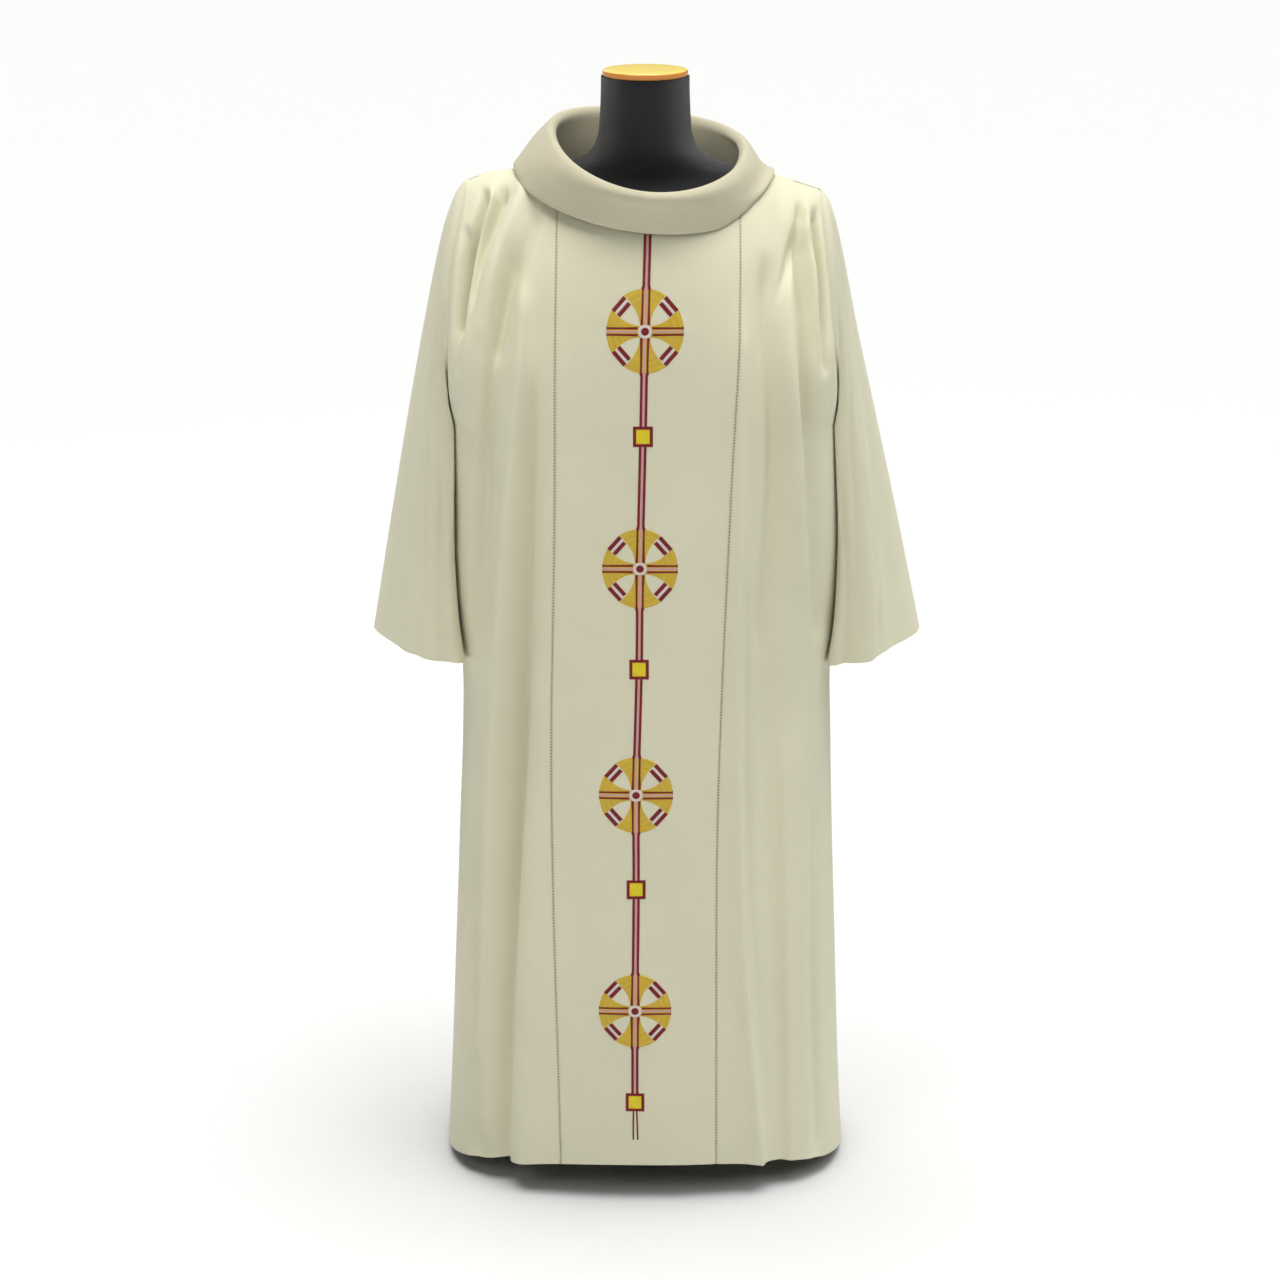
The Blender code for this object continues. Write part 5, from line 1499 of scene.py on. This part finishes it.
def ladder(name, places, stitch, material):
    """Short bars of thread across a seam: rounded rods, whose rings of points shrink to nothing
    at both ends along a blunt ellipse, and whose ends bend down into the cloth."""
    line, across, out = (part[:, None, None] for part in places)
    along, turn = np.meshgrid(np.linspace(-1, 1, ROD_RINGS), turns(ROD_POINTS), indexing="ij")
    blunt = np.clip(1 + ROD_END - np.abs(along) ** ROD_BLUNT, 0, 1)
    radius = stitch.thread / 2 * np.sqrt(blunt)
    side, height = radius * np.cos(turn), radius * np.sin(turn) - ROD_BEND * along**2 - ROD_SINK
    rods = (line + across * (along * stitch.length / 2)[..., None]
            + np.cross(out, across) * side[..., None] + out * height[..., None])
    round_turn = np.concatenate([turn, turn[:, :1] + 2 * np.pi], axis=1)
    uv = np.stack([round_turn * stitch.thread, rounded(along) * stitch.length], axis=-1) / 2
    cells, uv_cells = stack_faces(ROD_RINGS, ROD_POINTS, uv)
    shift = np.arange(len(rods))[:, None, None] * along.size
    made = Builder(name)
    made.add(rods, (cells + shift).reshape(-1, 4), np.tile(uv_cells, (len(rods), 1, 1)))
    made.seat(material, "cloth")


# ---- The dress form and its stand --------------------------------------------------------


def closed_stack(name, points, material, *seating):
    """A closed solid through rings of points, seated on the part in place of these nodes."""
    made = Builder(name)
    made.add(points, *stack_faces(*points.shape[:2], uv_round(points)))
    made.seat(material, *seating)


def torso_piece(form):
    """The padded form: an ellipse at each height, whose half width and two depths run smoothly
    through the rings, closed by rings that shrink to a point at both ends."""
    heights = np.linspace(FORM[0].z, FORM[-1].z, TORSO_ROWS + 1)
    shrink = np.concatenate([TORSO_END, np.ones(TORSO_ROWS + 1), TORSO_END[::-1]])[:, None]
    level = np.concatenate([[heights[0]] * 2, heights, [heights[-1]] * 2])
    z, turn = np.meshgrid(level, turns(TORSO_AROUND), indexing="ij")
    depth = np.where(np.sin(turn) < 0, column_of(FORM, "front", z), column_of(FORM, "back", z))
    points = rings(shrink * column_of(FORM, "half_width", z), shrink * depth, z, turn)
    closed_stack("form_torso", points, jersey_material(form), "jersey", "torso")


def turned_piece(name, profile, count, material, *seating):
    """A solid turned about the Z axis, from its profile, closed by a tiny ring at both ends."""
    ends = [profile[0], *profile, profile[-1]]
    radius = np.array([TURNED_END, *(at.radius for at in profile), TURNED_END])[:, None]
    points = rings(radius, radius, np.array([at.z for at in ends])[:, None], turns(count))
    closed_stack(name, points, material, *seating)


# ---- Settings ----------------------------------------------------------------------------


def size_setting(name, description, default, low, high):
    """A size in metres."""
    return FloatProperty(name=name, description=description, default=default,
                         min=low, max=high, unit="LENGTH")


def colour_setting(name, description, default):
    """A colour."""
    return FloatVectorProperty(name=name, description=description, default=default,
                               min=0.0, max=1.0, subtype="COLOR")


def light_setting(name, description, default, high):
    """The power or strength of a light."""
    return FloatProperty(name=name, description=description, default=default, min=0.0, max=high)


class ClothSettings(bpy.types.PropertyGroup):
    thickness: size_setting("Cloth", "Thickness of one layer of cloth", 0.0012, 0.0005, 0.003)
    collar_thickness: size_setting(
        "Collar", "Thickness of the collar's doubled cloth", 0.0027, 0.001, 0.006)
    hem_depth: size_setting("Hem", "Height of the turned-up hem", 0.032, 0.005, 0.08)
    seam_roll: size_setting("Seam depth", "How far a seam's edge rolls inwards", 0.0010, 0.0, 0.003)
    seam_width: size_setting(
        "Seam width", "How far from a seam the cloth rolls inwards", 0.0034, 0.0005, 0.01)
    armhole_dip: size_setting(
        "Armhole depth", "How far the cloth sinks along the armhole", 0.0030, 0.0, 0.01)
    armhole_width: size_setting(
        "Armhole width", "How far from the armhole the cloth sinks", 0.012, 0.001, 0.04)
    seam_gap: size_setting("Seam gap", "Gap between two sewn edges", 0.0003, 0.0002, 0.002)
    thread_pitch: size_setting(
        "Weave", "Distance between two threads of the weave", 0.0008, 0.0003, 0.003)
    colour: colour_setting("Colour", "Colour of the cloth", (0.757, 0.733, 0.556))
    # The collar's colour is the cloth's own colour made darker: painted shade.
    collar_colour: colour_setting(
        "Collar's colour", "Colour of the doubled cloth of the collar", (0.592, 0.550, 0.408))


class StitchSettings(bpy.types.PropertyGroup):
    pitch: size_setting(
        "Pitch", "Distance between two bars of thread across a seam", 0.0042, 0.001, 0.02)
    length: size_setting("Length", "Length of a bar of thread", 0.0044, 0.001, 0.02)
    thread: size_setting("Thread", "Thickness of the sewing thread", 0.0009, 0.0003, 0.003)
    colour: colour_setting("Colour", "Colour of the sewing thread", (0.40, 0.38, 0.24))


class EmbroiderySettings(bpy.types.PropertyGroup):
    height: size_setting(
        "Height", "How far the satin stitches stand out of the cloth", 0.0008, 0.0002, 0.003)
    gold: colour_setting("Gold", "Colour of the roundels' arms", (0.700, 0.475, 0.046))
    maroon: colour_setting("Maroon", "Colour of the lines, bars and borders", (0.215, 0.007, 0.011))
    mauve: colour_setting("Mauve", "Colour between the twin lines", (0.68, 0.38, 0.37))
    pale: colour_setting("Pale", "Colour of the rings and between the bars", (0.80, 0.72, 0.70))
    yellow: colour_setting("Yellow", "Colour of the squares", (0.88, 0.70, 0.02))


class FormSettings(bpy.types.PropertyGroup):
    knit_pitch: size_setting("Knit", "Distance between two ribs of the jersey", 0.0013, 0.0005, 0.005)
    jersey_colour: colour_setting("Jersey", "Colour of the form's cover", (0.014, 0.0135, 0.0175))
    wood_colour: colour_setting("Wood", "Colour of the neck cap's top", (0.97, 0.76, 0.21))
    # The edge colour, darker than the top's, is painted shade.
    wood_edge_colour: colour_setting(
        "Wood edge", "Colour of the neck cap's turned edge", (0.66, 0.20, 0.018))
    steel_colour: colour_setting("Steel", "Colour of the pole and the base", (0.16, 0.16, 0.17))


class StageSettings(bpy.types.PropertyGroup):
    floor_colour: colour_setting("Floor", "Colour of the floor", (0.675, 0.677, 0.697))
    key: light_setting("Key", "Power of the main light, in watts", 22.0, 2000.0)
    back: light_setting("Back", "Power of the light behind, in watts", 15.0, 2000.0)
    side: light_setting("Side", "Strength of the soft light from the right", 1.2, 20.0)
    overhead: light_setting("Overhead", "Strength of the soft light overhead", 3.5, 20.0)
    around: light_setting("Around", "Strength of the light from all sides", 0.06, 5.0)


class DalmaticSettings(bpy.types.PropertyGroup):
    cloth: PointerProperty(type=ClothSettings, name="Cloth", description="The cloth")
    stitch: PointerProperty(type=StitchSettings, name="Stitches", description="The seam stitches")
    embroidery: PointerProperty(
        type=EmbroiderySettings, name="Embroidery", description="The embroidery")
    form: PointerProperty(type=FormSettings, name="Dress form", description="The dress form")
    stage: PointerProperty(type=StageSettings, name="Stage", description="The stage")


# ---- Operators ---------------------------------------------------------------------------


class DALMATIC_OT_panels(bpy.types.Operator):
    """Make the front's three panels and the back"""
    bl_idname = "dalmatic.panels"
    bl_label = "Body panels"

    def execute(self, context):
        for cut in CUTS:
            cut_piece(cut, context.scene.dalmatic.cloth)
        return {"FINISHED"}


class DALMATIC_OT_sleeves(bpy.types.Operator):
    """Make both sleeves"""
    bl_idname = "dalmatic.sleeves"
    bl_label = "Sleeves"

    def execute(self, context):
        for name in SLEEVES:
            sleeve_piece(name, context.scene.dalmatic.cloth)
        return {"FINISHED"}


class DALMATIC_OT_collar(bpy.types.Operator):
    """Make the rolled collar"""
    bl_idname = "dalmatic.collar"
    bl_label = "Collar"

    def execute(self, context):
        collar_piece(context.scene.dalmatic.cloth)
        return {"FINISHED"}


class DALMATIC_OT_seam_stitches(bpy.types.Operator):
    """Sew the row of bars along the front's two seams"""
    bl_idname = "dalmatic.seam_stitches"
    bl_label = "Seam stitches"

    def execute(self, context):
        stitch = context.scene.dalmatic.stitch
        thread = thread_material("olive_thread", stitch.colour, *OLIVE_THREAD)
        for name, column in (("right", SEAM_RIGHT), ("left", SEAM_LEFT)):
            ladder("stitches_seam_" + name, seam_places(column, stitch), stitch, thread)
        return {"FINISHED"}


class DALMATIC_OT_embroidery(bpy.types.Operator):
    """Embroider the stem, the four roundels and the four squares"""
    bl_idname = "dalmatic.embroidery"
    bl_label = "Embroidery"

    def execute(self, context):
        settings = context.scene.dalmatic.embroidery
        for thread in THREADS:
            made = Embroidery("embroidery_" + thread.colour, settings.height)
            thread.sew(made)
            colour = getattr(settings, thread.colour)
            name = thread.colour + "_thread"
            made.seat(thread_material(name, colour, thread.rough, THREAD_PITCH), "cloth")
        return {"FINISHED"}


class DALMATIC_OT_dress_form(bpy.types.Operator):
    """Make the padded form, its neck cap and its stand"""
    bl_idname = "dalmatic.dress_form"
    bl_label = "Dress form"

    def execute(self, context):
        form = context.scene.dalmatic.form
        torso_piece(form)
        wood, steel = wood_material(form), steel_material(form)
        turned_piece("form_neck_cap", NECK_CAP, CAP_AROUND, wood, "wood", "neck_cap")
        turned_piece("form_pole", POLE, POLE_AROUND, steel, "steel", "pole")
        turned_piece("form_base", BASE, BASE_AROUND, steel, "steel", "base")
        return {"FINISHED"}


class DALMATIC_OT_declare(bpy.types.Operator):
    """An empty step, which does nothing"""
    bl_idname = "dalmatic.declare"
    bl_label = "Cut of the cloth"

    def execute(self, context):
        return {"FINISHED"}


FLOOR_RADII, FLOOR_AROUND, FLOOR_GAP = (0.001, 0.5, 2.0, 8.0, 40.0), 96, 0.0004
CAMERA_PLACE, CAMERA_DOWN_DEGREES = (-0.0068, -3.86, 2.01), 18.0
CAMERA_LENS, SENSOR_WIDTH = 82.97, 36.0
ROOM_COLOUR = (0.96, 1.0, 0.94, 1)
Lamp = namedtuple("Lamp", "name width place aim colour")
LAMPS = (
    Lamp("key", 1.5, (-1.9, -3.0, 2.9), (0, 0, 0.9), (1.0, 0.97, 0.92)),
    Lamp("back", 2.0, (-1.5, 3.0, 2.6), (0, 0, 1.0), (1.0, 1.0, 0.97)),
)
# Broad soft lights from far off: degrees of sky that each fills, and its lean forwards and to
# the right of straight overhead.
Sky = namedtuple("Sky", "name spread lean colour")
SKIES = (
    Sky("overhead", 50.0, (0.0, 0.0), (1.0, 0.99, 0.955)),
    Sky("side", 60.0, (10.0, 30.0), (0.97, 1.0, 0.95)),
)


def floor_piece(stage):
    """A round floor: rings of points just under the base, from the middle far out."""
    radius = np.array(FLOOR_RADII)[:, None]
    points = rings(radius, radius, CAD_BOX[0].z - FLOOR_GAP, turns(FLOOR_AROUND))
    index, uv_index = grid_index(*points.shape[:2], True)
    made = Builder("floor")
    made.add(points, corners(index), rounded(points).reshape(-1, 3)[corners(uv_index), :2])
    made.make(floor_material(stage))


def hang(data, place, turn):
    """Puts a lamp or the camera in the scene."""
    made = bpy.data.objects.new(data.name, data)
    made.location, made.rotation_euler = place, turn
    bpy.context.scene.collection.objects.link(made)
    return made


def area_lamp(lamp, power):
    """A square lamp at its place, turned to its aim."""
    data = bpy.data.lights.new("lamp_" + lamp.name, "AREA")
    data.energy, data.size, data.color = power, lamp.width, lamp.colour
    aim = Vector(lamp.aim) - Vector(lamp.place)
    hang(data, lamp.place, aim.to_track_quat("-Z", "Y").to_euler())


def sky_lamp(sky, strength):
    """A broad soft light from far off, which is even over the floor."""
    data = bpy.data.lights.new("lamp_" + sky.name, "SUN")
    data.energy, data.angle, data.color = strength, np.radians(sky.spread), sky.colour
    hang(data, (0, 0, 0), (*np.radians(sky.lean), 0))


def room(strength):
    """An even, pale light from all sides."""
    world = bpy.data.worlds.new("pale_room")
    world.use_nodes = True
    background = world.node_tree.nodes["Background"]
    put(background.inputs["Color"], ROOM_COLOUR)
    put(background.inputs["Strength"], strength)
    bpy.context.scene.world = world


class DALMATIC_OT_stage(bpy.types.Operator):
    """Set the floor, the lights and the camera"""
    bl_idname = "dalmatic.stage"
    bl_label = "Stage"

    def execute(self, context):
        scene, stage = context.scene, context.scene.dalmatic.stage
        floor_piece(stage)
        for lamp in LAMPS:
            area_lamp(lamp, getattr(stage, lamp.name))
        for sky in SKIES:
            sky_lamp(sky, getattr(stage, sky.name))
        room(stage.around)
        camera = bpy.data.cameras.new("camera")
        camera.lens, camera.sensor_width = CAMERA_LENS, SENSOR_WIDTH
        scene.camera = hang(camera, CAMERA_PLACE, (np.radians(90 - CAMERA_DOWN_DEGREES), 0, 0))
        scene.view_settings.view_transform = "Standard"
        return {"FINISHED"}


class DALMATIC_PT_sidebar(bpy.types.Panel):
    """The dalmatic's sizes, colours and pieces"""
    bl_label = "Dalmatic"
    bl_idname = "DALMATIC_PT_sidebar"
    bl_space_type = "VIEW_3D"
    bl_region_type = "UI"
    bl_category = "Dalmatic"

    def draw(self, context):
        settings = context.scene.dalmatic
        for group in (settings.cloth, settings.stitch, settings.embroidery, settings.form,
                      settings.stage):
            box = self.layout.box()
            for key in group.__annotations__:
                box.prop(group, key)
        for operator in OPERATORS:
            self.layout.operator(operator.bl_idname)


OPERATORS = (
    DALMATIC_OT_panels,
    DALMATIC_OT_sleeves,
    DALMATIC_OT_collar,
    DALMATIC_OT_seam_stitches,
    DALMATIC_OT_embroidery,
    DALMATIC_OT_dress_form,
    DALMATIC_OT_declare,
    DALMATIC_OT_stage,
)
CLASSES = (
    ClothSettings,
    StitchSettings,
    EmbroiderySettings,
    FormSettings,
    StageSettings,
    DalmaticSettings,
    DALMATIC_PT_sidebar,
) + OPERATORS


def register():
    for made in CLASSES:
        bpy.utils.register_class(made)
    bpy.types.Scene.dalmatic = PointerProperty(type=DalmaticSettings)


def unregister():
    del bpy.types.Scene.dalmatic
    for made in reversed(CLASSES):
        bpy.utils.unregister_class(made)


def main():
    register()
    bpy.ops.dalmatic.panels()
    bpy.ops.dalmatic.sleeves()
    bpy.ops.dalmatic.collar()
    bpy.ops.dalmatic.seam_stitches()
    bpy.ops.dalmatic.embroidery()
    bpy.ops.dalmatic.dress_form()
    bpy.ops.dalmatic.declare()
    bpy.ops.dalmatic.stage()


if __name__ == "__main__":
    main()
